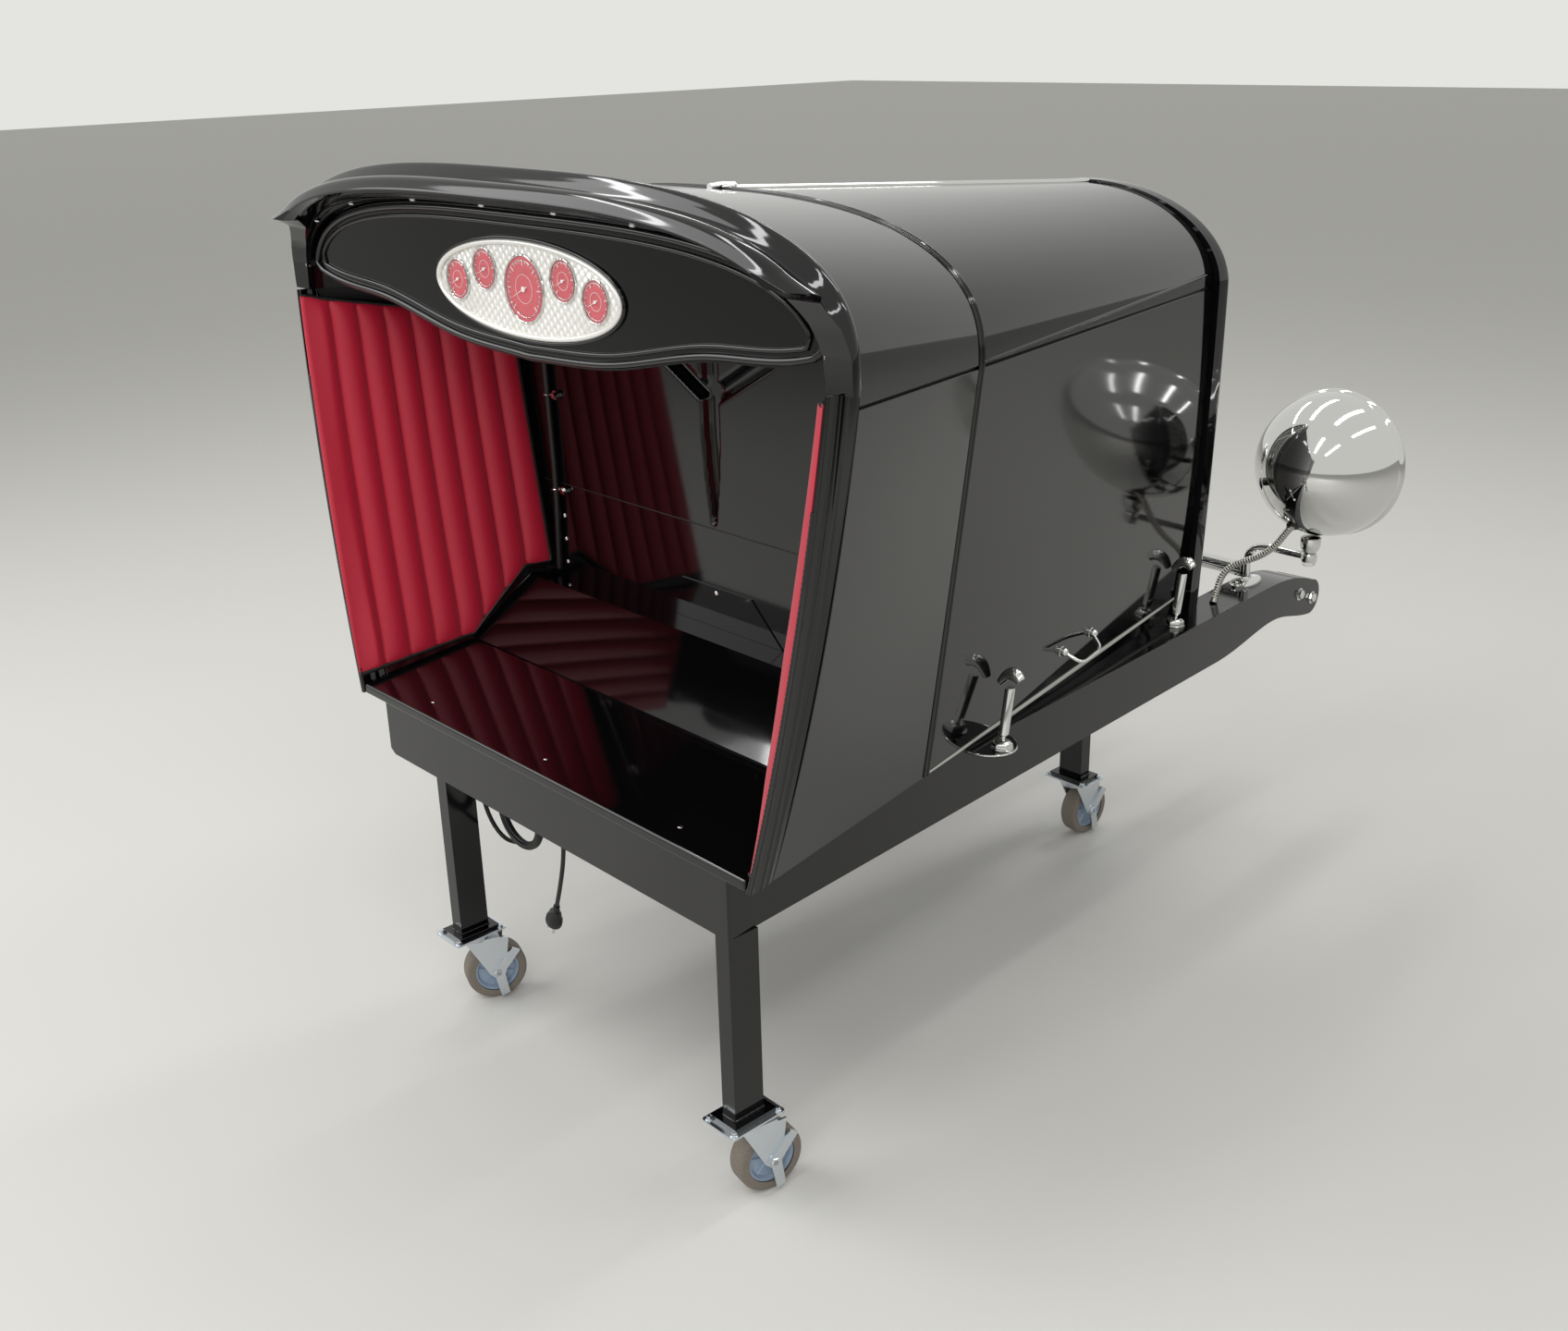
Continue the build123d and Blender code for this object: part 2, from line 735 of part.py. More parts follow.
# ----------------------------------------------------------------- grille shell
shell_depth = 38.0
shell_foot = hood_front[0] + 18
shell_half = hood_front[2] + 13
shell_shoulder = hood_front[3] - 2
shell_top = hood_front[4] + 4
shell_rim = 50.0
mouth_sill = rail_top + 90
mouth_foot = shell_foot - shell_rim
mouth_half = shell_half - shell_rim
mouth_shoulder = shell_shoulder - 10
mouth_rise = shell_top - 58 - mouth_shoulder
with BuildPart() as grille_shell:
    with BuildSketch(station_plane(nose_station + 1)):
        with BuildLine():
            Polyline(
                (0, rail_top),
                (shell_foot, rail_top),
                (shell_half, shell_shoulder - 130),
                (shell_half, shell_shoulder),
            )
            EllipticalCenterArc((0, shell_shoulder), shell_half, shell_top - shell_shoulder, arc_size=90)
            Line((0, shell_top), (0, rail_top))
        make_face()
        mirror(about=Plane.YZ)
        with BuildLine():
            Polyline(
                (0, mouth_sill),
                (mouth_foot, mouth_sill),
                (mouth_half, shell_shoulder - 130),
                (mouth_half, mouth_shoulder),
            )
            EllipticalCenterArc((0, mouth_shoulder), mouth_half, mouth_rise, arc_size=90)
            Line((0, mouth_shoulder + mouth_rise), (0, mouth_sill))
        opening = make_face(mode=Mode.PRIVATE)
        add(opening, mode=Mode.SUBTRACT)
        add(mirror(opening, about=Plane.YZ, mode=Mode.PRIVATE), mode=Mode.SUBTRACT)
    extrude(amount=-shell_depth)
save(grille_shell, "grille_shell")

bar_pitch = 26.0
bar_width = 6.0
bar_count = int((mouth_half - bar_width) / bar_pitch)
with BuildPart() as grille:
    with BuildSketch(station_plane(nose_station + 20)):
        for i in range(-bar_count, bar_count + 1):
            x = i * bar_pitch
            reach = (abs(x) + bar_width / 2) / mouth_half
            top = mouth_shoulder + mouth_rise * math.sqrt(1 - reach**2) - 1
            with Locations((x, (mouth_sill + gap + top) / 2)):
                Rectangle(bar_width, top - mouth_sill - gap)
        for z in (mouth_sill + 167, mouth_sill + 357):
            with Locations((0, z)):
                slope = (mouth_half - mouth_foot) / (shell_shoulder - 130 - mouth_sill)
                Rectangle(2 * (mouth_foot + slope * (z - 4 - mouth_sill) - gap), 8)
    extrude(amount=-8)
save(grille, "grille")

# -------------------------------------------------------------------- headlamps
lamp = (387.0, 1440.0, 750.0)
lamp_radius = 130.0
lamp_depth = 135.0
bowl_radius = lamp_radius - 3.5
foot = (250.0, 1422.0)
stud = (lamp[0], 1397.0)
bowl_plane = Plane(origin=(lamp[0], at(lamp[1]), lamp[2]), x_dir=(0, -1, 0), z_dir=(0, 0, 1))


def bowl_outline(extra):
    """Half outline of the lamp's bowl, grown by a clearance."""
    EllipticalCenterArc((0, 0), lamp_depth + extra, bowl_radius + extra, arc_size=90)
    Line((0, bowl_radius + extra), (0, 0))
    Line((0, 0), (lamp_depth + extra, 0))


with BuildPart() as lamp_bucket:
    with BuildSketch(bowl_plane):
        with BuildLine():
            bowl_outline(0)
        make_face()
    revolve(axis=Axis((lamp[0], at(lamp[1]), lamp[2]), (0, 1, 0)))
save_pair(lamp_bucket, "lamp_bucket")

lens_rim = (lamp_radius - 6, 22.0)
lens_crown = 38.0
lens_bulge = lens_crown - lens_rim[1]
lens_sphere = (lens_rim[0] ** 2 + lens_bulge**2) / (2 * lens_bulge)
with BuildPart() as lamp_rim:
    with BuildSketch(Plane(origin=(lamp[0], at(lamp[1]), lamp[2]), x_dir=(1, 0, 0), z_dir=(0, 0, 1))):
        with BuildLine():
            Polyline((0, lens_crown), (0, gap), (lamp_radius - 4, gap), (lamp_radius, 8), lens_rim)
            half = lens_rim[0] / 2
            mid = lens_crown - lens_sphere + math.sqrt(lens_sphere**2 - half**2)
            ThreePointArc(lens_rim, (half, mid), (0, lens_crown))
        make_face()
    revolve(axis=Axis((lamp[0], at(lamp[1]), lamp[2]), (0, 1, 0)))
save_pair(lamp_rim, "lamp_lens")

cup_radius = 18.0
arm_radius = 7.0
nut_radius = 12.0
cup_top = (
    lamp[2]
    - bowl_radius * math.sqrt(1 - ((lamp[1] - stud[1] - cup_radius) / lamp_depth) ** 2)
    - 0.5
)
arm_height = cup_top - 36
with BuildPart() as lamp_stand:
    with BuildSketch(Plane.XY.offset(rail_top)):
        with Locations((foot[0], at(foot[1]))):
            Ellipse(22, 41)
    extrude(amount=8)
    with BuildLine() as arm_path:
        FilletPolyline(
            (foot[0], at(foot[1]), rail_top + 6),
            (foot[0], at(foot[1]), arm_height - 8),
            (stud[0], at(stud[1]), arm_height),
            radius=54,
        )
    with BuildSketch(Plane(origin=(foot[0], at(foot[1]), rail_top + 6), z_dir=(0, 0, 1))):
        Circle(arm_radius)
    sweep(path=arm_path.line)
    with BuildSketch(Plane.XY.offset(arm_height - 16)):
        with Locations((stud[0], at(stud[1]))):
            RegularPolygon(nut_radius, 6)
    extrude(amount=36)
    with BuildSketch(Plane.XY.offset(cup_top)):
        with Locations((stud[0], at(stud[1]))):
            Circle(cup_radius)
    extrude(amount=-26, taper=14)
save_pair(lamp_stand, "lamp_stand")

# wiring between each headlamp and its rail, held at both ends
conduit_radius = 6.5
conduit_back = 84.0
bowl_underside = lamp[2] - bowl_radius * math.sqrt(1 - (conduit_back / lamp_depth) ** 2)
conduit_route = (
    (lamp[0] - 14, lamp[1] - conduit_back, bowl_underside + 8),
    (lamp[0] - 50, lamp[1] - 94, rail_top + 92),
    (lamp[0] - 122, lamp[1] - 120, rail_top + 58),
    (lamp[0] - 117, lamp[1] - 154, rail_top),
)
with BuildPart() as lamp_conduit:
    with BuildLine() as lamp_route:
        FilletPolyline(*[(x, at(station), z) for x, station, z in conduit_route], radius=36)
    with BuildSketch(Plane(origin=lamp_route.line @ 0, z_dir=lamp_route.line % 0)):
        Circle(conduit_radius)
    sweep(path=lamp_route.line)
    with BuildSketch(Plane.XY.offset(rail_top)):
        Rectangle(overall_length, 2 * overall_length)
    extrude(amount=-30, mode=Mode.SUBTRACT)
    with BuildSketch(bowl_plane):
        with BuildLine():
            bowl_outline(gap)
        make_face()
    revolve(axis=Axis((lamp[0], at(lamp[1]), lamp[2]), (0, 1, 0)), mode=Mode.SUBTRACT)
save_pair(lamp_conduit, "lamp_conduit")

with BuildPart() as lamp_crossbar:
    with BuildSketch(side_plane()):
        with Locations((at(foot[1]), rail_top + 24)):
            Circle(14)
    extrude(amount=foot[0] - arm_radius - gap, both=True)
save(lamp_crossbar, "lamp_crossbar")

# ----------------------------------------------------------------- hood latches
latch_places = ((407.0, 539.0), (288.0, 1142.0))
# claw on top of a latch, seen from behind: reach from the rod, height over the rail
claw = ((18, 90), (20, 100), (12, 112), (-2, 115), (-14, 107), (-18, 93), (-13, 99), (-7, 98), (-7, 90))
claw_width = 15.0
handle_stations = (762.0, 860.0)
handle_height = rail_top + 70.0
handle_reach = 8.0
handle_out = 32.0
handle_drop = 16.0
handle_radius = 3.0
handle_bend = 14.0
handle_boss = 6.0


def side_skin_at(station):
    """Outer half width of the hood side at the handle's height, just clear of the skin."""
    xb, zb, xc, zc, _, bow, _, _ = hood_section(station)
    t = (handle_height - zb) / (zc - zb)
    return xb + (xc - xb) * t + 4 * bow * t * (1 - t) + gap, station


handle_feet = [side_skin_at(station) for station in handle_stations]
handle_route = (
    (handle_feet[0][0] + handle_reach / 2, handle_feet[0][1], handle_height),
    (handle_feet[0][0] + handle_out, handle_feet[0][1] + 12, handle_height - handle_drop),
    (handle_feet[1][0] + handle_out, handle_feet[1][1] - 12, handle_height - handle_drop),
    (handle_feet[1][0] + handle_reach / 2, handle_feet[1][1], handle_height),
)
with BuildPart() as hood_latches:
    tab_x = rail_inner(latch_places[0][1]) + bottom_flange / rail_cos + gap
    with BuildSketch(Plane.XY.offset(rail_top - 4)):
        with Locations((tab_x, at(latch_places[0][1]))):
            Ellipse(55, 44)
        with Locations(Location((tab_x, at(latch_places[0][1]), 0), (0, 0, rail_taper))):
            Rectangle(200, 400, align=(Align.MAX, Align.CENTER), mode=Mode.SUBTRACT)
    extrude(amount=4)
    for x, station in latch_places:
        with BuildSketch(Plane.XY.offset(rail_top)):
            with Locations((x, at(station))):
                Circle(17)
        extrude(amount=10, taper=20)
        with BuildSketch(Plane.XY.offset(rail_top + 10)):
            with Locations((x, at(station))):
                Circle(7)
        extrude(amount=82)
        with BuildSketch(station_plane(station)):
            with BuildLine():
                Polyline(*[(x + reach, rail_top + z) for reach, z in claw], close=True)
            make_face()
        extrude(amount=claw_width / 2, both=True)
    with BuildLine() as handle_path:
        FilletPolyline(*[(x, at(station), z) for x, station, z in handle_route], radius=handle_bend)
    with BuildSketch(Plane(origin=handle_path.line @ 0, z_dir=handle_path.line % 0)):
        Circle(handle_radius)
    sweep(path=handle_path.line)
    for x, station in handle_feet:
        with BuildSketch(side_plane(x + 1.2)):
            with Locations((at(station), handle_height)):
                Circle(handle_boss)
        extrude(amount=handle_reach)
save_pair(hood_latches, "hood_latches")

# ------------------------------------------------------------------ wiring pipe
with BuildPart() as wiring_conduit:
    with BuildLine() as route:
        FilletPolyline(
            (-404, at(firewall_station - 6.3), 1100),
            (-392, at(firewall_station - 6.3), 780),
            (-400, at(firewall_station - 6.3), toe_height + 8),
            radius=60,
        )
    with BuildSketch(Plane(origin=route.line @ 0, z_dir=route.line % 0)):
        Circle(6)
    sweep(path=route.line)
save(wiring_conduit, "wiring_conduit")

# ------------------------------------------------------- power cord of the lamps
# It comes down out of a gland, hangs in a coil on a hook and ends in a plug.
cord_diameter = 7.0
crossmember_face = apron_sheet + crossmember_depth
coil_radius = 52.0
coil_section = 11.0
hook_sheet = 3.0
hook_width = 14.0
hook_reach = 36.0
hook_height = rail_bottom - 15.0
coil_bore = coil_radius - coil_section
coil_seat = math.sqrt(coil_bore**2 - (hook_width / 2) ** 2)
coil_centre = (-165.0, crossmember_face + 20.0, hook_height + hook_sheet + gap - coil_seat)
gland_place = (-268.0, crossmember_face + 15.0)
gland_bottom = rail_bottom - 4.0

with BuildPart() as cord_coil:
    with BuildSketch(Plane(origin=(coil_centre[0], at(coil_centre[1]), coil_centre[2]), z_dir=(0, 0, 1))):
        with Locations((coil_radius, 0)):
            Circle(coil_section)
    revolve(axis=Axis((coil_centre[0], at(coil_centre[1]), coil_centre[2]), (0, 1, 0)))
save(cord_coil, "cord_coil")

with BuildPart() as cord_hook:
    with BuildSketch(side_plane(coil_centre[0])):
        with BuildLine():
            back = at(crossmember_face + gap)
            front = back + hook_reach
            Polyline(
                (back, rail_bottom + 30),
                (back, hook_height),
                (front, hook_height),
                (front, hook_height + 13),
                (front - hook_sheet, hook_height + 13),
                (front - hook_sheet, hook_height + hook_sheet),
                (back + hook_sheet, hook_height + hook_sheet),
                (back + hook_sheet, rail_bottom + 30),
                close=True,
            )
        make_face()
    extrude(amount=hook_width / 2, both=True)
save(cord_hook, "cord_hook")

with BuildPart() as cord_gland:
    with BuildSketch(side_plane(gland_place[0])):
        with Locations((at(crossmember_face + gap), gland_bottom + 8)):
            Rectangle(25, 22, align=(Align.MIN, Align.MIN))
    extrude(amount=11, both=True)
    with BuildSketch(Plane.XY.offset(gland_bottom)):
        with Locations((gland_place[0], at(gland_place[1]))):
            RegularPolygon(8, 6)
    extrude(amount=8)
save(cord_gland, "cord_gland")

lead_route = (
    (gland_place[0], gland_place[1], gland_bottom),
    (gland_place[0], gland_place[1], 348.0),
    (-232.0, 78.0, 290.0),
    (coil_centre[0], coil_centre[1], coil_centre[2] - coil_radius),
)
tail_route = (
    (-117.0, 80.0, 355.0),
    (-118.0, 84.0, 437.0),
    (-38.0, 66.0, 437.0),
    (-40.0, 67.0, 352.0),
    (-60.0, 70.0, 284.0),
    (-84.0, 74.0, 231.0),
)


def cord_path(route):
    """Tangent arcs between the straight runs of a cord, with their radii."""
    points = [Vector(x, at(station), z) for x, station, z in route]
    runs = [b - a for a, b in zip(points, points[1:])]
    radii = []
    for before, after in zip(runs, runs[1:]):
        half_turn = math.radians(before.get_angle(after)) / 2
        radii.append(0.45 * min(before.length, after.length) / math.tan(half_turn))
    return points, radii


cord_length = 0.0
with BuildPart() as power_cord:
    for route in (lead_route, tail_route):
        points, radii = cord_path(route)
        print("cord radii", [round(r, 1) for r in radii])
        with BuildLine() as cord_line:
            FilletPolyline(*points, radius=radii)
        with BuildSketch(Plane(origin=cord_line.line @ 0, z_dir=cord_line.line % 0)):
            Circle(cord_diameter / 2)
        sweep(path=cord_line.line)
        cord_length += sum(edge.length for edge in cord_line.edges())
    section_volume = math.pi * cord_diameter**2 / 4 * cord_length
    print("cord volume", round(power_cord.part.volume), "section by length", round(section_volume))
    add(cord_coil.part, mode=Mode.SUBTRACT)
save(power_cord, "power_cord")

plug_axis = Vector(*tail_route[-1]) - Vector(*tail_route[-2])
plug_top = Vector(tail_route[-1][0], at(tail_route[-1][1]), tail_route[-1][2])
plug_plane = Plane(origin=plug_top, x_dir=(1, 0, 0.4), z_dir=plug_axis)
with BuildPart() as power_plug:
    for start, depth, size, corner in ((0, 14, (12, 12), 5), (14, 12, (24, 20), 6), (26, 16, (32, 24), 7)):
        with BuildSketch(plug_plane.offset(start)):
            RectangleRounded(*size, corner)
        extrude(amount=depth)
    with BuildSketch(plug_plane.offset(42)):
        with Locations((-6.5, 3), (6.5, 3)):
            Rectangle(1.6, 6.5)
        with Locations((0, -6)):
            Circle(2.4)
    extrude(amount=16)
save(power_plug, "power_plug")

print("written")
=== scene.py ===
"""Looks of a rolling display stand made from the front half of an open 1930s style car body.

Lengths are written in millimetres, as in the CAD model, and turned to metres when a mesh is made.
A station is a distance forward of the rear face of the chassis, and the right side is at +x.
A mesh is a pair of points and faces, and a profile is a row of (radius, height) pairs.
"""

import json
import math
from collections import namedtuple

import bmesh
import bpy
import numpy as np
from mathutils import Matrix, Vector


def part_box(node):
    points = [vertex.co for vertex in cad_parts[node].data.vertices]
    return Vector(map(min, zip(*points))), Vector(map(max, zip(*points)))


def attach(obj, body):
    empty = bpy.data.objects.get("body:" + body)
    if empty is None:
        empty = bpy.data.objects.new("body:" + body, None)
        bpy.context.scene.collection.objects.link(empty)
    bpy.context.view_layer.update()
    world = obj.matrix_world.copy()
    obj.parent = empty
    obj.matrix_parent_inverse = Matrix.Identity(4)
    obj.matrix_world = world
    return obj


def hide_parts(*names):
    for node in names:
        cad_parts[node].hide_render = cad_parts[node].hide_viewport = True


bl_info = {
    "name": "Display stand looks",
    "version": (1, 0, 0),
    "blender": (4, 5, 0),
    "location": "3D View > Sidebar > Stand",
    "description": "Dresses the packed display stand with panels, trim, lamps, casters and finishes",
    "category": "Object",
}

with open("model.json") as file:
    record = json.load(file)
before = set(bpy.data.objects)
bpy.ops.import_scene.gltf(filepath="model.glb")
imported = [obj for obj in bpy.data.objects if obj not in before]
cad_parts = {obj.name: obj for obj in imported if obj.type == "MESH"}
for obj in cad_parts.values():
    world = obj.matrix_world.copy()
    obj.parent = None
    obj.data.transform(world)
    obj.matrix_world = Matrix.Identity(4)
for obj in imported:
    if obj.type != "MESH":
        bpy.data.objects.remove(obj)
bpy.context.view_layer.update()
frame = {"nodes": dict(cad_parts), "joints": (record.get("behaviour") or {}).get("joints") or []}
MM = 0.001
UP, AHEAD, REARWARD = (0, 0, 1), (0, 1, 0), (0, -1, 0)
SIDES = (("right", 1), ("left", -1))
LEGS = ("rear_right", "rear_left", "front")
BEVEL_ANGLE = 40


# ------------------------------------------------------------------ places and sizes
def corners(node):
    """Lowest and highest corners of a CAD node in millimetres."""
    low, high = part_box(node)
    return np.array(low) / MM, np.array(high) / MM


APRON_Y = corners("rear_apron")[0][1]
RAIL_TOP = corners("rear_apron")[1][2]
RAIL_OUTER, RAIL_START, RAIL_LEAN = 413.0, 5.0, math.tan(math.radians(4.63))
SEAM = corners("cowl_top")[1][1] - APRON_Y
HOOD_START = SEAM + 2.0
NOSE = corners("hood_top_right")[1][1] - APRON_Y
POST_STATION = corners("cowl_top")[0][1] - APRON_Y
POST_FOOT = 34.0
POST_TOP = corners("door_post_right")[1][2]
FIREWALL = 350.0
SHEET = 4.0
GAP = 0.3
# half widths and heights of the side's foot and crease, height of the top, bow of the side,
# squareness and flare of the arch
Section = namedtuple("Section", "foot_half foot half crease top bow power flare")
COWL_REAR = Section(457.0, RAIL_TOP, 592.0, 1113.0, 1312.0, 14.0, 3.05, 6.0)
COWL_FRONT = Section(393.0, RAIL_TOP, 479.0, 1093.0, 1279.0, 1.0, 2.6, 0.0)
HOOD_FRONT = Section(244.0, RAIL_TOP, 263.0, 1072.0, 1224.0, 8.0, 2.0, 0.0)


def between(start, end, share):
    """Straight blend from start to end, as the share goes from 0 to 1."""
    return start + (end - start) * share


def bowed(low, high, bow, share):
    """Half width of a panel that goes from low to high and bulges by a parabola of height bow."""
    return between(low, high, share) + 4 * bow * share * (1 - share)


def section(station):
    """Body section at each station: linear between the cowl's ends, then between the hood's."""
    station = np.asarray(station, float)
    rear, seam, nose = (np.array(ends) for ends in (COWL_REAR, COWL_FRONT, HOOD_FRONT))
    cowl = ((station - POST_STATION) / (SEAM - POST_STATION))[..., None]
    hood = ((station - SEAM) / (NOSE - SEAM))[..., None]
    values = np.where(hood > 0, between(seam, nose, hood), between(rear, seam, cowl))
    return Section(*np.moveaxis(values, -1, 0))


def arch(half, low, top, power, flare, turn, inset=0.0):
    """Half arch: x = (half + flare up) cos^(2/power), z = low + rise sin^(2/power) of the turn."""
    half, rise = half - inset, top - low - inset
    up = np.abs(np.sin(turn)) ** (2 / power)
    out = np.abs(np.cos(turn)) ** (2 / power)
    return (half + flare * up) * out, low + rise * up


def rail_side(station):
    """Outer face of the right rail, a straight line that comes in towards the nose."""
    return RAIL_OUTER - RAIL_LEAN * (station - RAIL_START)


def spread(start, end, count, bend=0.0):
    """Even steps from start to end, drawn together at both ends by the bend."""
    t = np.linspace(0, 1, count)
    t = t - bend * np.sin(2 * np.pi * t) / (2 * np.pi)
    return between(start, end, t)


def quarter(count):
    """Even angles over a quarter turn."""
    return np.linspace(0, np.pi / 2, count)


def circle(count):
    """Even angles round a circle, its end left out."""
    return np.linspace(0, 2 * np.pi, count, endpoint=False)


def smooth_table(x, xs, ys):
    """Cubic curve through a short table, with slopes taken from its neighbours."""
    xs, ys = np.asarray(xs, float), np.asarray(ys, float)
    slope = np.gradient(ys, xs)
    i = np.clip(np.searchsorted(xs, x, "right") - 1, 0, len(xs) - 2)
    h = xs[i + 1] - xs[i]
    t = np.clip((x - xs[i]) / h, 0, 1)
    a, b = (1 + 2 * t) * (1 - t) ** 2, t * (1 - t) ** 2 * h
    c, d = t**2 * (3 - 2 * t), t**2 * (t - 1) * h
    return a * ys[i] + b * slope[i] + c * ys[i + 1] + d * slope[i + 1]


def place(x, station, z):
    """Points from x, station and height, stacked along the last axis."""
    x, station, z = np.broadcast_arrays(x, station, z)
    return np.stack((x, station + APRON_Y, z), axis=-1)


# ------------------------------------------------------------------ mesh building
def grid_faces(rows, cols, wrap_rows=False, wrap_cols=False, offset=0, flip=False):
    """Quads of a grid of points, joined round where it wraps."""
    index = np.arange(rows * cols).reshape(rows, cols) + offset
    if wrap_rows:
        index = np.vstack((index, index[:1]))
    if wrap_cols:
        index = np.hstack((index, index[:, :1]))
    quads = np.stack((index[:-1, :-1], index[1:, :-1], index[1:, 1:], index[:-1, 1:]), axis=-1)
    quads = quads.reshape(-1, 4)
    return quads[:, ::-1] if flip else quads


def add_piece(name, mesh, maker, body="body", replaces=(), sharp=32.0, bevel=0.0, slot=None):
    """A mesh in a finish, that rides on a body. Edges past the sharp angle stay crisp."""
    points, faces = mesh
    data = bpy.data.meshes.new(name)
    points = np.asarray(points, float).reshape(-1, 3) * MM
    data.from_pydata(points.tolist(), [], [tuple(int(i) for i in face) for face in faces])
    work = bmesh.new()
    work.from_mesh(data)
    bmesh.ops.remove_doubles(work, verts=work.verts, dist=1e-6)
    bmesh.ops.recalc_face_normals(work, faces=work.faces)
    work.to_mesh(data)
    work.free()
    data.shade_smooth()
    data.set_sharp_from_angle(angle=math.radians(sharp))
    data.materials.append(use(maker))
    piece = bpy.data.objects.new(name, data)
    bpy.context.collection.objects.link(piece)
    if bevel:
        modifier = piece.modifiers.new("Edges", "BEVEL")
        modifier.width = bevel * MM
        modifier.segments = 3
        modifier.limit_method = "ANGLE"
        modifier.angle_limit = math.radians(BEVEL_ANGLE)
        modifier.harden_normals = True
    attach(piece, body)
    if replaces:
        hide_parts(*replaces)
    return piece


def add_pair(name, mesh, maker, replaces="", **settings):
    """A mesh on the right and its mirror image on the left, each in place of its side's node."""
    points, faces = mesh
    pieces = []
    for side, sign in SIDES:
        nodes = (f"{replaces}_{side}",) if replaces else ()
        mirrored = np.reshape(points, (-1, 3)) * (sign, 1, 1)
        pieces.append(add_piece(f"{name}_{side}", (mirrored, faces), maker, replaces=nodes, **settings))
    return pieces


def join_parts(parts):
    """Several meshes as one."""
    points, faces, offset = [], [], 0
    for part_points, part_faces in parts:
        part_points = np.asarray(part_points, float).reshape(-1, 3)
        points.append(part_points)
        faces.extend([tuple(int(i) + offset for i in face) for face in part_faces])
        offset += len(part_points)
    return np.concatenate(points), faces


def join_both_sides(parts):
    """Meshes of the right side and their mirror images on the left, as one."""
    mirrored = [(points * (-1, 1, 1), [tuple(face)[::-1] for face in faces]) for points, faces in parts]
    return join_parts([*parts, *mirrored])


def shell(outer, inner):
    """Closed sheet between two grids of points: both sides and the four borders."""
    rows, cols = outer.shape[:2]
    count = rows * cols
    points = np.concatenate((outer.reshape(-1, 3), inner.reshape(-1, 3)))
    faces = [*grid_faces(rows, cols), *grid_faces(rows, cols, offset=count, flip=True)]
    index = np.arange(count).reshape(rows, cols)
    for line in (index[0], index[:, -1], index[-1, ::-1], index[::-1, 0]):
        faces.extend(np.stack((line[:-1], line[1:], line[1:] + count, line[:-1] + count), axis=-1))
    return points, faces


def lathe(profile, centre, axis=UP, turns=48):
    """Surface of revolution: the profile's heights lie along the axis, and ends on it close it."""
    profile = np.asarray(profile, float)
    axis = np.asarray(axis, float) / np.linalg.norm(axis)
    side = np.cross(axis, (0.0, 0.0, 1.0) if abs(axis[2]) < 0.9 else (1.0, 0.0, 0.0))
    side /= np.linalg.norm(side)
    angle = circle(turns)[:, None, None]
    ring = np.cos(angle) * side + np.sin(angle) * np.cross(axis, side)
    points = np.asarray(centre, float) + profile[None, :, :1] * ring + profile[None, :, 1:] * axis
    return points.reshape(-1, 3), grid_faces(turns, len(profile), wrap_rows=True)


def tube(path, radius, sides, closed=False, squash=1.0):
    """Round tube: rings of side cos + up sin along a path, turned by a fixed reference direction."""
    path = np.asarray(path, float)
    if closed:
        tangent = np.roll(path, -1, axis=0) - np.roll(path, 1, axis=0)
    else:
        tangent = np.gradient(path, axis=0)
    tangent /= np.linalg.norm(tangent, axis=1)[:, None]
    steep = abs(tangent[:, 2]).max() >= 0.93
    side = np.cross(tangent, np.array((0.9, 0.3, 0.1) if steep else (0.13, 0.29, 0.95)))
    side /= np.linalg.norm(side, axis=1)[:, None]
    up = np.cross(tangent, side)
    angle = circle(sides)[None, :, None]
    radius = np.broadcast_to(radius, len(path))[:, None, None]
    ring = np.cos(angle) * side[:, None] + squash * np.sin(angle) * up[:, None]
    points = (path[:, None] + radius * ring).reshape(-1, 3)
    faces = list(grid_faces(len(path), sides, wrap_rows=closed, wrap_cols=True))
    if not closed:
        faces += [tuple(range(sides))[::-1], tuple(range(len(points) - sides, len(points)))]
    return points, faces


def fillet_path(points, radius, steps):
    """Path through corner points, each corner rounded by a quadratic curve."""
    points = [np.asarray(p, float) for p in points]
    path = [points[0]]
    t = np.linspace(0, 1, steps)[:, None]
    for before, corner, after in zip(points, points[1:], points[2:]):
        ends = []
        for other in (before, after):
            leg = np.linalg.norm(other - corner)
            ends.append(corner + (other - corner) / leg * min(radius, leg * 0.48))
        path.extend((1 - t) ** 2 * ends[0] + 2 * t * (1 - t) * corner + t**2 * ends[1])
    path.append(points[-1])
    return np.array(path)


def resample(path, step):
    """The same path in even steps of about the given length."""
    path = np.asarray(path, float)
    length = np.concatenate(([0], np.cumsum(np.linalg.norm(np.diff(path, axis=0), axis=1))))
    want = np.linspace(0, length[-1], max(3, int(length[-1] / step)))
    return np.stack([np.interp(want, length, path[:, i]) for i in range(3)], axis=-1)


def bent_rod(route, bend, steps, step, radius, sides):
    """Round rod along a route of corner points, its corners rounded and its steps even."""
    return tube(resample(fillet_path(route, bend, steps), step), radius, sides)


def screw_head(centre, axis, radius, height):
    """Domed round screw head."""
    t = quarter(7)
    return lathe(np.stack((radius * np.cos(t), height * np.sin(t)), axis=-1), centre, axis, turns=16)


def hex_head(centre, axis, radius, height):
    """Hexagon bolt head with its corners turned down, on a round washer."""
    thick = 1.6
    washer = ((0, 0), (radius * 1.35, 0), (radius * 1.35, thick), (radius, thick))
    head = ((radius, thick), (radius, height * 0.8), (radius * 0.86, height), (0, height))
    return join_parts((lathe(washer, centre, axis, 24), lathe(head, centre, axis, 6)))


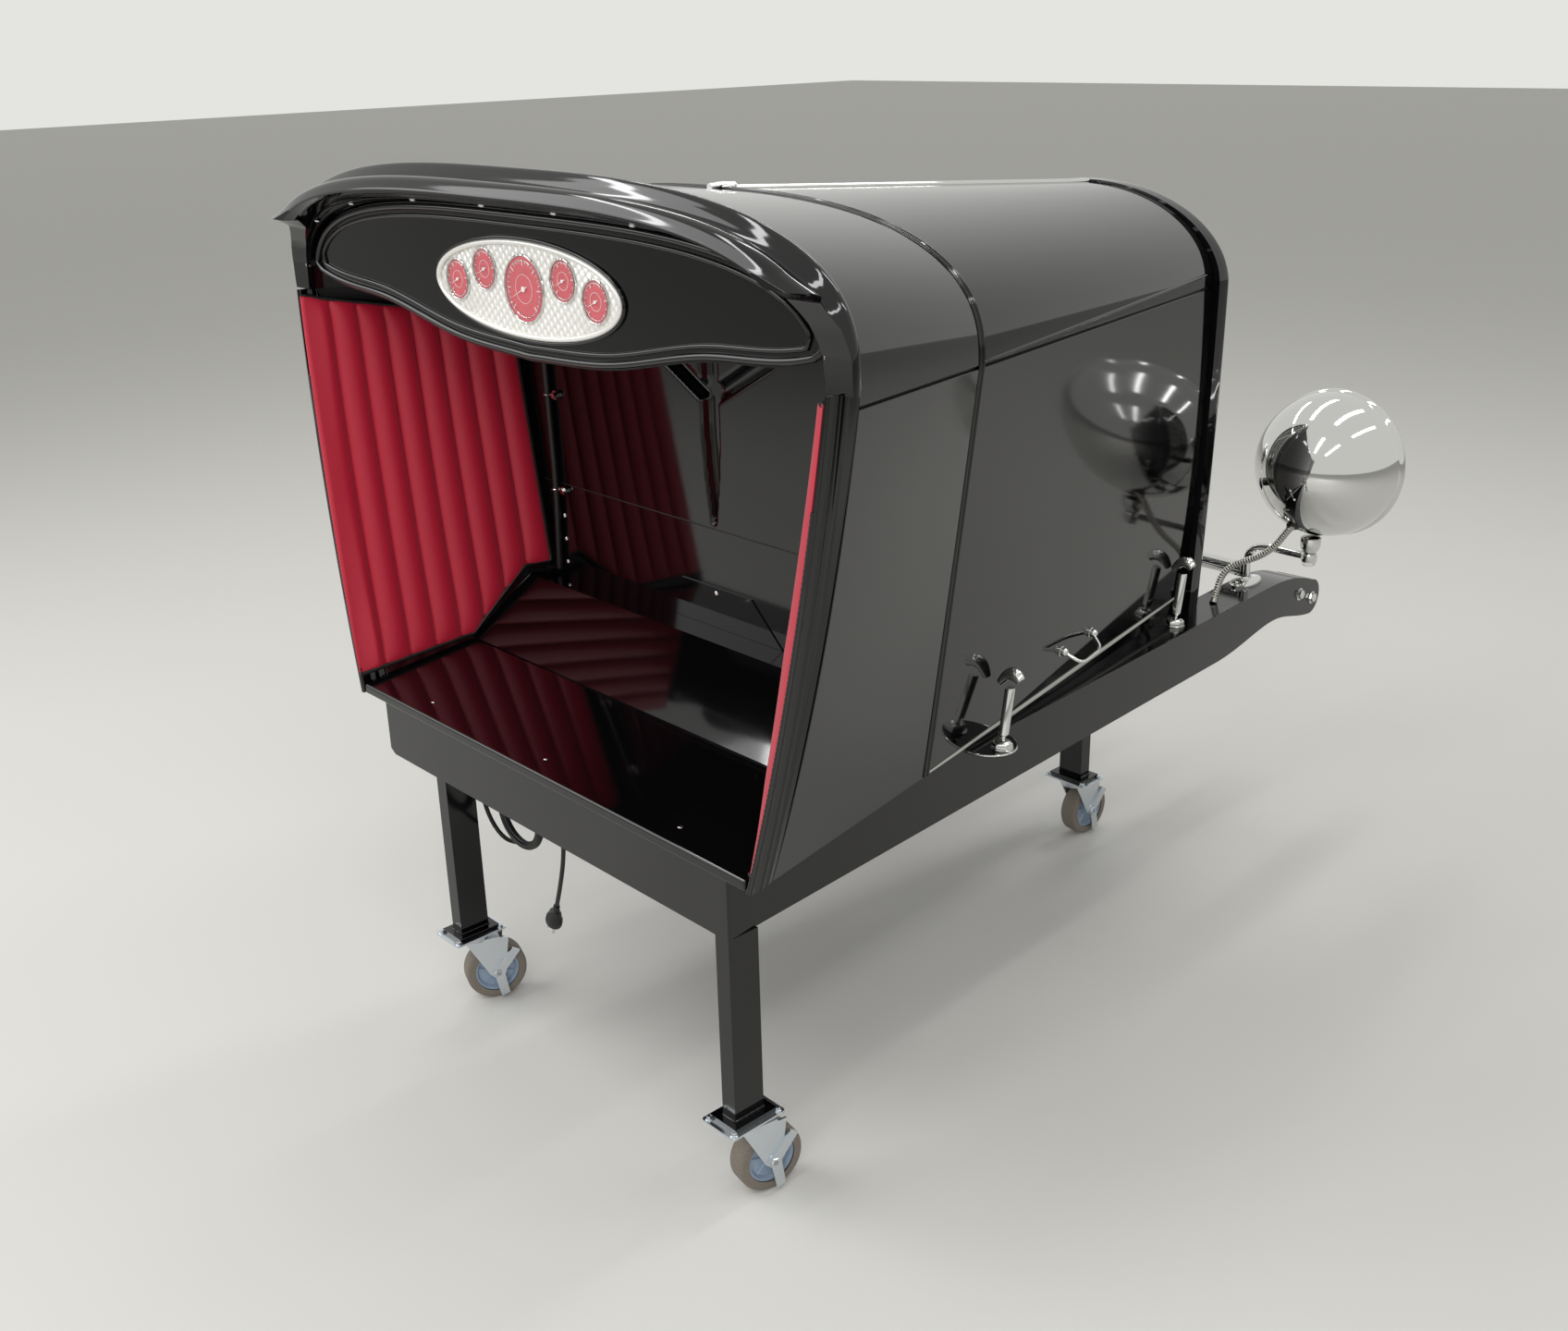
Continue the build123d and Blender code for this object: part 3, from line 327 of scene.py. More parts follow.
# ------------------------------------------------------------------ finishes
FINISHES = {}


def use(maker):
    """The finish made by a function, made once."""
    if maker not in FINISHES:
        FINISHES[maker] = maker()
    return FINISHES[maker]


def linear(code):
    """Linear colour of an sRGB hex code, or of a colour that is linear already."""
    if not isinstance(code, str):
        return (*code, 1.0)
    values = [int(code[i : i + 2], 16) / 255 for i in (1, 3, 5)]
    return tuple(v / 12.92 if v <= 0.04045 else ((v + 0.055) / 1.055) ** 2.4 for v in values) + (1.0,)


def node(tree, kind, links=(), **settings):
    """Adds a shader node, sets its sockets and properties, and links its inputs."""
    made = tree.nodes.new(kind)
    for key, value in settings.items():
        socket = key.replace("_", " ")
        if socket in made.inputs:
            made.inputs[socket].default_value = value
        else:
            setattr(made, key, value)
    for socket, source in links:
        tree.links.new(source, made.inputs[socket])
    return made


def finish(name, colour, roughness, metallic=0.0, grain=2.0, depth=0.02, vary=0.04, tint=None, **sockets):
    """A finish with fine bump of the given grain in mm, and roughness and colour that vary a little.

    The bump's height is the depth in mm. The roughness goes up and down by vary, in broad clouds.
    """
    material = bpy.data.materials.new(name)
    material.use_nodes = True
    tree = material.node_tree
    shader = tree.nodes["Principled BSDF"]
    shader.inputs["Base Color"].default_value = linear(colour)
    shader.inputs["Metallic"].default_value = metallic
    for key, value in sockets.items():
        shader.inputs[key.replace("_", " ")].default_value = value
    where = node(tree, "ShaderNodeTexCoord").outputs["Object"]
    fine = node(tree, "ShaderNodeTexNoise", [("Vector", where)], Scale=1 / (grain * MM), Detail=4.0)
    bump = node(tree, "ShaderNodeBump", [("Height", fine.outputs["Fac"])], Distance=depth * MM)
    tree.links.new(bump.outputs["Normal"], shader.inputs["Normal"])
    broad = node(tree, "ShaderNodeTexNoise", [("Vector", where)], Scale=9.0, Detail=5.0)
    level = node(tree, "ShaderNodeMapRange", [("Value", broad.outputs["Fac"])],
                 To_Min=max(roughness - vary, 0.0), To_Max=roughness + vary)
    tree.links.new(level.outputs["Result"], shader.inputs["Roughness"])
    if tint:
        mix = node(tree, "ShaderNodeMix", [("Factor", fine.outputs["Fac"])], data_type="RGBA")
        mix.inputs[6].default_value, mix.inputs[7].default_value = linear(colour), linear(tint)
        tree.links.new(mix.outputs[2], shader.inputs["Base Color"])
    return material


def gloss_black():
    """Deep polished black enamel with a faint orange peel."""
    return finish("gloss_black_enamel", stand().body_colour, 0.06, grain=14.0, depth=0.01, vary=0.02)


def satin_black():
    """Black enamel on the chassis and legs, a little less polished."""
    return finish("chassis_black_enamel", "#060608", 0.12, grain=9.0)


def chrome():
    """Polished chrome plate, with the slightest waviness."""
    return finish("chrome_plate", "#D6D6D4", 0.05, metallic=1.0, grain=30.0, depth=0.01, vary=0.03)


def zinc():
    """Bright zinc plate, slightly cloudy."""
    return finish("bright_zinc_plate", "#D3D9DE", 0.26, metallic=1.0, grain=7.0, vary=0.12)


def tread_rubber():
    """Grey-tan moulded tread with rolled-in dirt."""
    return finish("moulded_tread", "#7D756B", 0.6, grain=3.0, depth=0.15, vary=0.12, tint="#5E574F")


def hub_plastic():
    """Blue-grey moulded hub, faintly mottled."""
    return finish("moulded_hub", "#8797AA", 0.38, depth=0.03, vary=0.08)


def red_vinyl():
    """Crimson upholstery vinyl: small pebble grain and a soft sheen."""
    return finish("crimson_vinyl", stand().trim_colour, 0.42, grain=1.6, depth=0.09, vary=0.06,
                  tint="#B21A34", Sheen_Weight=0.12)


def black_binding_and_shade():
    """Black vinyl binding with a fine grain, which takes the shine off it; the same black is also painted
    shade in the strips behind the crease joints.
    """
    return finish("black_binding_and_shade", "#0C0B0C", 0.45, grain=1.4, depth=0.06, vary=0.06)


def pale_highlight_strip():
    """Pale grey strip that paints a highlight low on the hood's side, dull with a fine fibrous grain."""
    return finish("pale_highlight_strip", "#A9A9A3", 0.6, grain=1.2, depth=0.12, vary=0.08)


def cord_jacket():
    """Black flexible cord jacket and moulded plug, with a soft gleam."""
    return finish("cord_jacket", "#0B0B0C", 0.42, grain=1.5, depth=0.03, vary=0.08)


def conduit_steel():
    """Interlocked steel strip of the lamp conduits, brighter on its ridges."""
    return finish("conduit_steel", "#A8A69F", 0.28, metallic=1.0, depth=0.03, vary=0.08)


def lamp_glass():
    """Clear fluted glass of the headlamps: upright flutes as a wave bump, about 12 mm apart."""
    flute_density, flute_depth = 26.0, 1.2
    material = finish("fluted_glass", "#F2F5F5", 0.04, grain=20.0, depth=0.01, vary=0.02,
                      Transmission_Weight=0.75, IOR=1.48)
    tree = material.node_tree
    where = node(tree, "ShaderNodeTexCoord").outputs["Object"]
    wave = node(tree, "ShaderNodeTexWave", [("Vector", where)], bands_direction="X", Scale=flute_density)
    bump = node(tree, "ShaderNodeBump", [("Height", wave.outputs["Fac"])], Distance=flute_depth * MM)
    tree.links.new(bump.outputs["Normal"], tree.nodes["Principled BSDF"].inputs["Normal"])
    return material


def engine_turned():
    """Bright silver panel, quilted by turned swirls 10 mm apart that stand in diagonal rows, each swirl
    painted light at its middle and darker towards its hollow edge as painted sheen and shade.
    """
    material = finish("engine_turned_silver", "#EDECE7", 0.32, metallic=0.25, depth=0.01, vary=0.05)
    tree = material.node_tree
    shader = tree.nodes["Principled BSDF"]
    pitch, lean, swirl_depth = 10 * MM, math.radians(38), 2.2 * MM
    where = node(tree, "ShaderNodeTexCoord").outputs["Object"]
    turned = node(tree, "ShaderNodeVectorRotate", [("Vector", where)],
                  rotation_type="Y_AXIS", Angle=lean)
    cells = node(tree, "ShaderNodeVectorMath", [(0, turned.outputs[0])], operation="MULTIPLY")
    cells.inputs[1].default_value = (1 / pitch, 0.0, 1 / pitch)
    part = node(tree, "ShaderNodeVectorMath", [(0, cells.outputs[0])], operation="FRACTION")
    middle = node(tree, "ShaderNodeVectorMath", [(0, part.outputs[0])], operation="SUBTRACT")
    middle.inputs[1].default_value = (0.5, 0.0, 0.5)
    reach = node(tree, "ShaderNodeVectorMath", [(0, middle.outputs[0])], operation="LENGTH").outputs["Value"]
    bump = node(tree, "ShaderNodeBump", [("Height", reach)], invert=True, Distance=swirl_depth)
    tree.links.new(bump.outputs["Normal"], shader.inputs["Normal"])
    # painted sheen and shade: each swirl is light in its middle and darker towards its hollow edge
    mix = node(tree, "ShaderNodeMix", [("Factor", reach)], data_type="RGBA")
    mix.inputs[6].default_value, mix.inputs[7].default_value = linear("#F6F5F1"), linear("#B9B7B0")
    tree.links.new(mix.outputs[2], shader.inputs["Base Color"])
    return material


def pale_rim():
    """Pale satin rim of the gauge panel, brushed to a soft shine."""
    return finish("pale_satin_rim", "#E6E5E0", 0.25, metallic=0.4, grain=4.0, depth=0.01, vary=0.05)


def gauge_red():
    """Rose red printed gauge face, slightly uneven."""
    return finish("rose_gauge_face", "#C4545E", 0.4, grain=3.0, depth=0.01, vary=0.05, tint="#D06C72")


def pale_print():
    """Pale printed marks and needles, flat in tone."""
    return finish("pale_print", "#E9DAD6", 0.5, grain=3.0, depth=0.01)


def clear_glass():
    """Clear cover glass over a gauge, seen only by its glint."""
    return finish("gauge_glass", "#FFFFFF", 0.02, grain=20.0, depth=0.003, vary=0.01,
                  Transmission_Weight=1.0, Alpha=0.25)


# ------------------------------------------------------------------ panels
def stand():
    """The sizes and colours set in the sidebar."""
    return bpy.context.scene.stand_sizes


def arched_top(station, turn, inset):
    """Points of the arched body top: turn across from the right crease, station along."""
    at = section(station)
    x, z = arch(at.half, at.crease, at.top, at.power, at.flare, turn, inset)
    return place(np.sign(np.cos(turn)) * x, station, z)


def make_cowl_top():
    """Cowl top from crease to crease, a sheet as thick as the panel."""
    station = spread(POST_STATION, SEAM, 26)[:, None]
    turn = spread(0.0, np.pi, 161)[None, :]
    mesh = shell(arched_top(station, turn, 0.0), arched_top(station, turn, SHEET))
    add_piece("cowl_top_skin", mesh, gloss_black, replaces=("cowl_top",), bevel=1.2)


def side_surface(start, end, inset, drop):
    """Side panel: height across, station along, bowed outward by a parabola between its edges."""
    t = spread(0.0, 1.0, 40)[None, :]
    run = spread(0.0, 1.0, 30)[:, None]
    station = between(start(t), end, run)
    at = section(station)
    x = bowed(at.foot_half, at.half, at.bow, t) - inset
    return place(x, station, between(at.foot, at.crease - drop, t))


def make_sides():
    """Cowl and hood sides, the cowl's with its leaning rear edge."""
    drop = stand().crease_gap / MM
    lean = (POST_STATION - POST_FOOT) / (POST_TOP - RAIL_TOP) * (COWL_REAR.crease - RAIL_TOP)
    panels = {
        "cowl_side": (lambda t: POST_FOOT + lean * t, SEAM),
        "hood_side": (lambda t: HOOD_START + 0 * t, NOSE),
    }
    for name, (start, end) in panels.items():
        mesh = shell(side_surface(start, end, 0.0, drop), side_surface(start, end, SHEET, drop))
        add_pair(f"{name}_skin", mesh, gloss_black, name, bevel=1.2)


def make_hood_tops():
    """Right and left hood tops, from their creases to each side of the hinge."""
    hinge_half = 5.4
    station = spread(HOOD_START, NOSE, 40)[:, None]
    at = section(station)
    turn = np.arccos((hinge_half / at.half) ** (at.power / 2)) * spread(0.0, 1.0, 81)[None, :]
    mesh = shell(arched_top(station, turn, 0.0), arched_top(station, turn, SHEET))
    add_pair("hood_top_skin", mesh, gloss_black, "hood_top", bevel=1.2)


def skin_line(station, z, out=0.0):
    """Points on the right skin at a height, pushed outward: the bowed side, then the arch."""
    at = section(station)
    t = np.clip((z - at.foot) / (at.crease - at.foot), 0, 1)
    side = bowed(at.foot_half, at.half, at.bow, t) + out
    up = np.clip((z - at.crease) / (at.top - at.crease + out), 0, 1)
    over = (at.half + out + at.flare * up) * (1 - up**at.power) ** (1 / at.power)
    return place(np.where(z > at.crease, over, side), station, z)


def make_seam_welt():
    """Raised welt that covers the joint between cowl and hood, from rail to rail."""
    at, station, proud, ridge_offset = COWL_FRONT, SEAM + 0.5, 0.8, 3.4
    side = skin_line(np.full(40, station), spread(RAIL_TOP + 1, at.crease, 40), proud)
    turn = spread(0.0, np.pi / 2, 50)[1:]
    x, z = arch(at.half, at.crease, at.top, at.power, at.flare, turn, -proud)
    right = np.concatenate((side, place(x, station, z)))
    path = np.concatenate((right, right[-2::-1] * (-1, 1, 1)))
    ridges = [tube(path + (0, offset, 0), 2.4, 12) for offset in (-ridge_offset, ridge_offset)]
    add_piece("seam_welt", join_parts([*ridges, tube(path, 2.0, 10)]), gloss_black)


def make_crease_lines():
    """Black strips behind the crease joint, painted shade that keeps the joint dark, and the hood's soft
    moulding above it.
    """
    levels = (-16.0, -4.0, 0.0, 4.0, 12.0)
    strip_outer, strip_inner = -SHEET - 0.8, -SHEET - 2.0
    strips = []
    for start, end in ((POST_STATION + 2, SEAM - 4), (SEAM + 4, NOSE - 2)):
        run = np.linspace(start, end, 40)[:, None] + np.zeros(len(levels))
        z = section(run).crease + levels
        strips.append(shell(skin_line(run, z, strip_outer), skin_line(run, z, strip_inner)))
    start, end = SEAM + 4, NOSE - 8
    station = np.linspace(start, end, 60)
    rise = 3 + 17 * (station - SEAM) / (NOSE - SEAM)
    fade = np.clip(np.minimum(station - start, end - station) / 12, 0.15, 1)
    moulding = tube(skin_line(station, section(station).crease + rise, 0.2), 2.6 * fade, 12)
    # painted shade: black strips close the crease joint from behind, where the real gap holds only shade
    add_piece("crease_shade_strips", join_both_sides(strips), black_binding_and_shade)
    add_piece("hood_mouldings", join_both_sides([moulding]), gloss_black)


def make_hood_highlight_strips():
    """Pale strip low on each hood side, rising towards the nose and widest in its middle, a painted highlight
    line; and the rails' edges.
    """
    t = np.linspace(0, 1, 60)
    station = between(SEAM + 4, NOSE - 4, t)
    path = skin_line(station, RAIL_TOP + 4 + 26 * t, 0.4)
    width = 1.6 + 2.0 * np.sin(np.pi * t)
    # painted highlight: a pale strip on each hood side, rising from near the rail towards the nose and widest
    # in its middle
    add_piece("hood_foot_highlight", join_both_sides([tube(path, width, 8)]), pale_highlight_strip)
    run = np.linspace(6.0, NOSE + 120, 30)
    edge = tube(place(rail_side(run) - 1.2, run, RAIL_TOP - 1.2), 1.5, 10)
    add_piece("rail_edges", join_both_sides([edge]), satin_black)


LIP_STATIONS = (-12.0, -5.0, 4.0, 13.0, 21.0, 29.0, 37.0, 45.0, 59.7)
LIP_OUTER = (588.0, 597.0, 602.0, 600.0, 596.0, 600.0, 606.0, 606.0, 594.0)
LIP_OUTER_TOP = (1303.0, 1314.0, 1318.0, 1316.0, 1313.0, 1323.0, 1332.0, 1331.0, 1316.0)
LIP_INNER = (580.0, 573.0, 570.0, 568.0, 567.0, 566.0, 566.0, 566.0, 564.0)
LIP_INNER_TOP = (1298.0, 1295.0, 1292.0, 1289.0, 1286.0, 1284.0, 1282.0, 1281.0, 1280.0)
LIP_FLARE = 16.0
LIP_INNER_POWER = 3.3
WING_STATIONS = (3.0, 9.0, 21.0, 31.0, 35.5, 36.0)
WING_FEET = (109.0, 105.0, 96.0, 70.0, 38.0, 0.0)
# the wings' ears: where they start below the lip, how far they reach out, and where they end
EAR_TOP, EAR_FADE, EAR_REACH, EAR_END, EAR_RUN = 1256.0, 22.0, 26.0, 26.0, 20.0


def lip_surface(station, half, top, power, flare, base):
    """Arched lip surface: half width, top and base height follow the station, turn across."""
    start = np.arcsin(((base - COWL_REAR.crease) / (top - COWL_REAR.crease)) ** (power / 2))
    across = spread(-1.0, 1.0, 181)[None, :]
    turn = between(start, np.pi / 2, 1 - np.abs(across))
    x, z = arch(half, COWL_REAR.crease, top, power, flare, turn)
    return place(np.sign(across) * x, station, z)


def make_lip():
    """The cowl's rear lip: rolled edge, valley and ridge, its wings swept down to the posts."""
    t = np.linspace(0, 1, 61)
    station = between(LIP_STATIONS[0], LIP_STATIONS[-1], t**1.35)
    station = np.sort(np.concatenate((station, (35.5, 36.1))))[:, None]
    base = POST_TOP + GAP + np.interp(station, WING_STATIONS, WING_FEET)
    rows = (LIP_OUTER, LIP_OUTER_TOP, LIP_INNER, LIP_INNER_TOP)
    outer_half, outer_top, inner_half, inner_top = (smooth_table(station, LIP_STATIONS, row) for row in rows)
    outer = lip_surface(station, outer_half, outer_top, COWL_REAR.power, LIP_FLARE, base)
    low = np.clip((EAR_TOP - outer[..., 2]) / EAR_FADE, 0, 1)
    rear = np.clip((EAR_END - station) / EAR_RUN, 0, 1)
    outer[..., 0] += EAR_REACH * low**1.5 * rear * np.sign(outer[..., 0])
    inner = lip_surface(station, inner_half, inner_top, LIP_INNER_POWER, 0.0, base)
    add_piece("cowl_lip_skin", shell(outer, inner), gloss_black, replaces=("cowl_lip",), bevel=1.6, sharp=40)


DASH_LOW_X = (0.0, 165.0, 345.0, 528.0, 560.0)
DASH_LOW_Z = (1088.0, 1097.0, 1130.0, 1150.0, 1159.0)
DASH_HALF, DASH_TOP = 564.2, 1279.8
DASH_FRONT, DASH_THICK = 53.0, 3.0
DASH_CORNER = (545.0, 1162.0)


def arch_height(x, half, rise):
    """Height over x of the lip's inner arch: crease + rise (1 - (x / half)^power)^(1 / power)."""
    share = np.clip(1 - (np.abs(x) / half) ** LIP_INNER_POWER, 0, 1)
    return COWL_REAR.crease + rise * share ** (1 / LIP_INNER_POWER)


def dash_loop(inset):
    """Closed outline of the dash at an inset: along the lower edge, then back over the arch."""
    corner_x, corner_z = DASH_CORNER
    low_x = spread(-corner_x + inset, corner_x - inset, 90)
    low_z = smooth_table(np.abs(low_x), DASH_LOW_X, DASH_LOW_Z) + inset
    turn = spread(0.0, np.pi, 140)
    x, z = arch(DASH_HALF, COWL_REAR.crease, DASH_TOP, LIP_INNER_POWER, 0.0, turn, inset)
    x = np.sign(np.cos(turn)) * x
    keep = z > corner_z + inset
    loop = place(np.concatenate((low_x, x[keep])), DASH_FRONT - 4.0, np.concatenate((low_z, z[keep])))
    return resample(loop[np.r_[: len(loop), 0]], 6.0)[:-1]


def make_dash():
    """Dash panel with a double rolled bead around its edge."""
    plate_half, plate_inset = 559.0, 1.0
    t = np.linspace(0, 1, 24)[None, :]
    x = spread(-plate_half, plate_half, 161)[:, None]
    low = smooth_table(np.abs(x), DASH_LOW_X, DASH_LOW_Z)
    high = arch_height(x, DASH_HALF - plate_inset, DASH_TOP - COWL_REAR.crease - plate_inset)
    z = between(low, np.maximum(high, low + 1), t)
    plate = shell(place(x, DASH_FRONT - DASH_THICK, z), place(x, DASH_FRONT, z))
    beads = [tube(dash_loop(inset), radius, 12, True) for inset, radius in ((7.0, 5.0), (19.0, 3.2))]
    add_piece("dash_skin", join_parts((plate, *beads)), gloss_black, replaces=("dash_panel",))


GAUGES = ((-156.0, 1180.0, 27.0), (-89.0, 1199.0, 27.0), (0.0, 1181.0, 43.0),
          (87.0, 1199.0, 27.0), (153.0, 1180.0, 27.0))


def oval_ring(x, z, half_x, half_z, station, thick, sides, count):
    """Round bead along an oval that faces the rear."""
    angle = circle(count)
    return tube(place(x + half_x * np.cos(angle), station, z + half_z * np.sin(angle)), thick, sides, True)


def oval_plate(half_x, half_z, centre_x, centre_z, station, depth, edge):
    """Oval plate with a rounded edge: its rings shrink to the middle as the depth is reached."""
    rounded = [(1 - edge * (1 - np.cos(a)) / half_x, depth * np.sin(a)) for a in quarter(6)]
    rings = np.array([(1.0, 0.0), *rounded, (0.5, depth), (0.0, depth)])
    scale, rise = rings[:, :1], rings[:, 1:]
    angle = circle(96)[None, :]
    x, z = centre_x + half_x * scale * np.cos(angle), centre_z + half_z * scale * np.sin(angle)
    return place(x, station - rise, z).reshape(-1, 3), list(grid_faces(len(rings), 96, wrap_cols=True))


def gauge_marks(x, z, radius, station):
    """Ticks over three quarters of a gauge, its needle and hub, and a thin ring."""
    def spoke(degrees):
        """Direction of an angle on the gauge's face."""
        angle = math.radians(degrees)
        return np.array((math.cos(angle), 0.0, math.sin(angle)))

    parts = []
    centre = place(x, station, z)
    ticks = 25 if radius > 30 else 11
    for i, angle in enumerate(np.linspace(225, -45, ticks)):
        long = i % 4 == 0
        direction = spoke(angle)
        start = centre + direction * radius * (0.72 if long else 0.80)
        end = centre + direction * radius * 0.9
        parts.append(tube(np.array((start, (start + end) / 2, end)), 0.8 if long else 0.5, 6))
    raised = centre - (0, 0.8, 0)
    needle = raised + spoke(205) * radius * np.linspace(-0.18, 0.7, 5)[:, None]
    parts.append(tube(needle, np.linspace(1.1, 0.3, 5), 8))
    parts.append(lathe(((radius * 0.09, 0), (radius * 0.09, 1.2), (0, 1.6)), raised, REARWARD, 20))
    parts.append(oval_ring(x, z, radius * 0.45, radius * 0.45, station, 0.4, 6, 40))
    return parts


def make_gauges():
    """Oval engine-turned cluster in a dark bezel, with red gauges under glass."""
    low, high = corners("gauge_panel")
    half_x, half_z = (high[0] - low[0]) / 2, (high[2] - low[2]) / 2
    middle = (high[2] + low[2]) / 2
    station = low[1] - APRON_Y
    plate = oval_plate(half_x - 8, half_z - 8, 0.0, middle, station + 2.0, 1.6, 1.0)
    add_piece("gauge_plate", plate, engine_turned, replaces=("gauge_panel",), slot="aluminium_dial")
    bezel = oval_ring(0.0, middle, half_x - 3, half_z - 3, station + 0.6, 2.8, 12, 120)
    add_piece("gauge_bezel", bezel, gloss_black)
    rim = oval_ring(0.0, middle, half_x - 9, half_z - 9, station - 1.0, 3.6, 14, 120)
    add_piece("gauge_rim", rim, pale_rim)
    rings, faces, marks, glasses = [], [], [], []
    for x, z, radius in GAUGES:
        faces.append(oval_plate(radius - 1.5, radius - 1.5, x, z, station + 0.4, 0.4, 0.2))
        for reach, thick in ((radius, 1.7), (radius * 0.84, 0.6)):
            rings.append(oval_ring(x, z, reach, reach, station - 0.5, thick, 10, 64))
        marks.extend(gauge_marks(x, z, radius - 2, station - 0.5))
        glasses.append(oval_plate(radius - 1, radius - 1, x, z, station - 1.6, 0.8, 0.4))
    add_piece("gauge_rings", join_parts(rings), chrome, slot="chrome")
    add_piece("gauge_faces", join_parts(faces), gauge_red, replaces=("gauges",), slot="gauge_face")
    add_piece("gauge_marks", join_parts(marks), pale_print)
    add_piece("gauge_glasses", join_parts(glasses), clear_glass, slot="lamp_glass")


# ------------------------------------------------------------------ cabin
TRIM_START, TRIM_END, TRIM_TOP_START = -9.0, 341.0, 23.0
TRIM_LOW_HALF, TRIM_HIGH_HALF = 465.0, 584.5
TRIM_CREASE, TRIM_BOW = COWL_REAR.crease + 9, COWL_REAR.bow - 2
TRIM_FOOT_STATIONS, TRIM_FOOT_HEIGHTS = (TRIM_START, 188.0, 294.0, TRIM_END), (532.0, 560.0, 653.0, 653.0)
TRIM_TOP_HEIGHTS = (1119.0, 1057.0)
TRIM_DEPTH = 13.0
# depth of the first roll over its height, where it is tucked in behind the door post
TUCK_HEIGHTS = (532.0, 596.0, 674.0, 829.0, 961.0, 1119.0)
TUCK_DEPTHS = (2.5, 5.0, 9.5, 13.0, 11.0, 8.0)


def trim_wall(station, z):
    """Outer face of a trim panel: straight from post to firewall, bowed between sill and crease."""
    near, inside = section(TRIM_END), SHEET + 2 * GAP
    run = (station - TRIM_START) / (TRIM_END - TRIM_START)
    low = between(TRIM_LOW_HALF, near.foot_half - inside, run)
    high = between(TRIM_HIGH_HALF, near.half - inside, run)
    crease = between(TRIM_CREASE, near.crease, run)
    return bowed(low, high, between(TRIM_BOW, near.bow, run), (z - RAIL_TOP) / (crease - RAIL_TOP))


def trim_grid(across, upward):
    """Stations and heights of a trim panel: its foot follows the floor and its top edge slopes."""
    low_station = between(TRIM_START, TRIM_END, across)
    low_z = np.interp(low_station, TRIM_FOOT_STATIONS, TRIM_FOOT_HEIGHTS)
    high_station = between(TRIM_TOP_START, TRIM_END, across)
    high_z = between(*TRIM_TOP_HEIGHTS, across)
    return between(low_station, high_station, upward), between(low_z, high_z, upward)


def make_trim():
    """Rolled and pleated side trim: upright rolls pinched at their seams, and a dark binding."""
    rolls, steps_per_roll = stand().roll_count, 14
    across = np.linspace(0, 1, rolls * steps_per_roll + 1)[:, None]
    upward = spread(0.0, 1.0, 70, bend=0.7)[None, :]
    station, z = trim_grid(across, upward)
    wall = trim_wall(station, z) - 0.5
    puff = np.where(across * rolls < 0.5, 1.0, np.abs(np.sin(np.pi * rolls * across)) ** 0.5)
    ends = (1 - np.abs(2 * upward - 1) ** 14) ** 0.5
    sides = np.clip(np.minimum(across * 500, (1 - across) * 60), 0, 1) ** 0.5
    wave = 0.5 * np.sin(7 * upward + 5 * np.floor(across * rolls - 1e-6))
    backing, seam = 2.0, 1.0
    depth = backing + (seam + (TRIM_DEPTH - 3.5 + wave) * puff) * ends * np.maximum(sides, 0.15)
    tucked = np.interp(z, TUCK_HEIGHTS, TUCK_DEPTHS)
    blend = np.clip(across * rolls / 0.7, 0, 1) ** 2
    face = wall - between(tucked, depth, blend)
    back, front = place(wall, station, z), place(face, station, z)
    rolled = shell(front, back)
    for pad in add_pair("trim_rolls", rolled, red_vinyl, "trim_panel", sharp=80, slot="red_vinyl"):
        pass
    edge = np.concatenate((front[:, 0], front[-1, 1:], front[-2::-1, -1]))
    edge[:, 0] = trim_wall(edge[:, 1] - APRON_Y, edge[:, 2]) - 3.5
    add_pair("trim_binding", tube(resample(edge, 8.0), 3.2, 10), black_binding_and_shade)


def make_floor():
    """Floor panel with rounded edges, rising to the toe board."""
    thick = 16.0
    low, high = corners("floor_panel")
    start, end = low[1] - APRON_Y, high[1] - APRON_Y
    station = spread(start, end, 12)[:, None]
    half = np.interp(station, (-9.0, 60.0, 188.0), (460.0, 450.7, 427.7))
    across = np.linspace(-1, 1, 9)[None, :]
    top = between(low[2] + thick, high[2], (station - start) / (end - start))
    mesh = shell(place(half * across, station, top), place(half * across, station, top - thick))
    add_piece("floor_skin", mesh, gloss_black, replaces=("floor_panel",), bevel=4.0)


def reach_inside(x, z, outline):
    """Distance of each point to the outline where it lies inside, and nothing outside."""
    inside = np.zeros(x.shape, bool)
    nearest = np.full(x.shape, 1e6)
    for (ax, az), (bx, bz) in zip(outline, [*outline[1:], outline[0]]):
        dx, dz = bx - ax, bz - az
        along = np.clip(((x - ax) * dx + (z - az) * dz) / (dx**2 + dz**2), 0, 1)
        nearest = np.minimum(nearest, np.hypot(x - ax - along * dx, z - az - along * dz))
        if dz:
            inside ^= ((az > z) != (bz > z)) & (x < dx * (z - az) / dz + ax)
    return np.where(inside, nearest, 0.0)


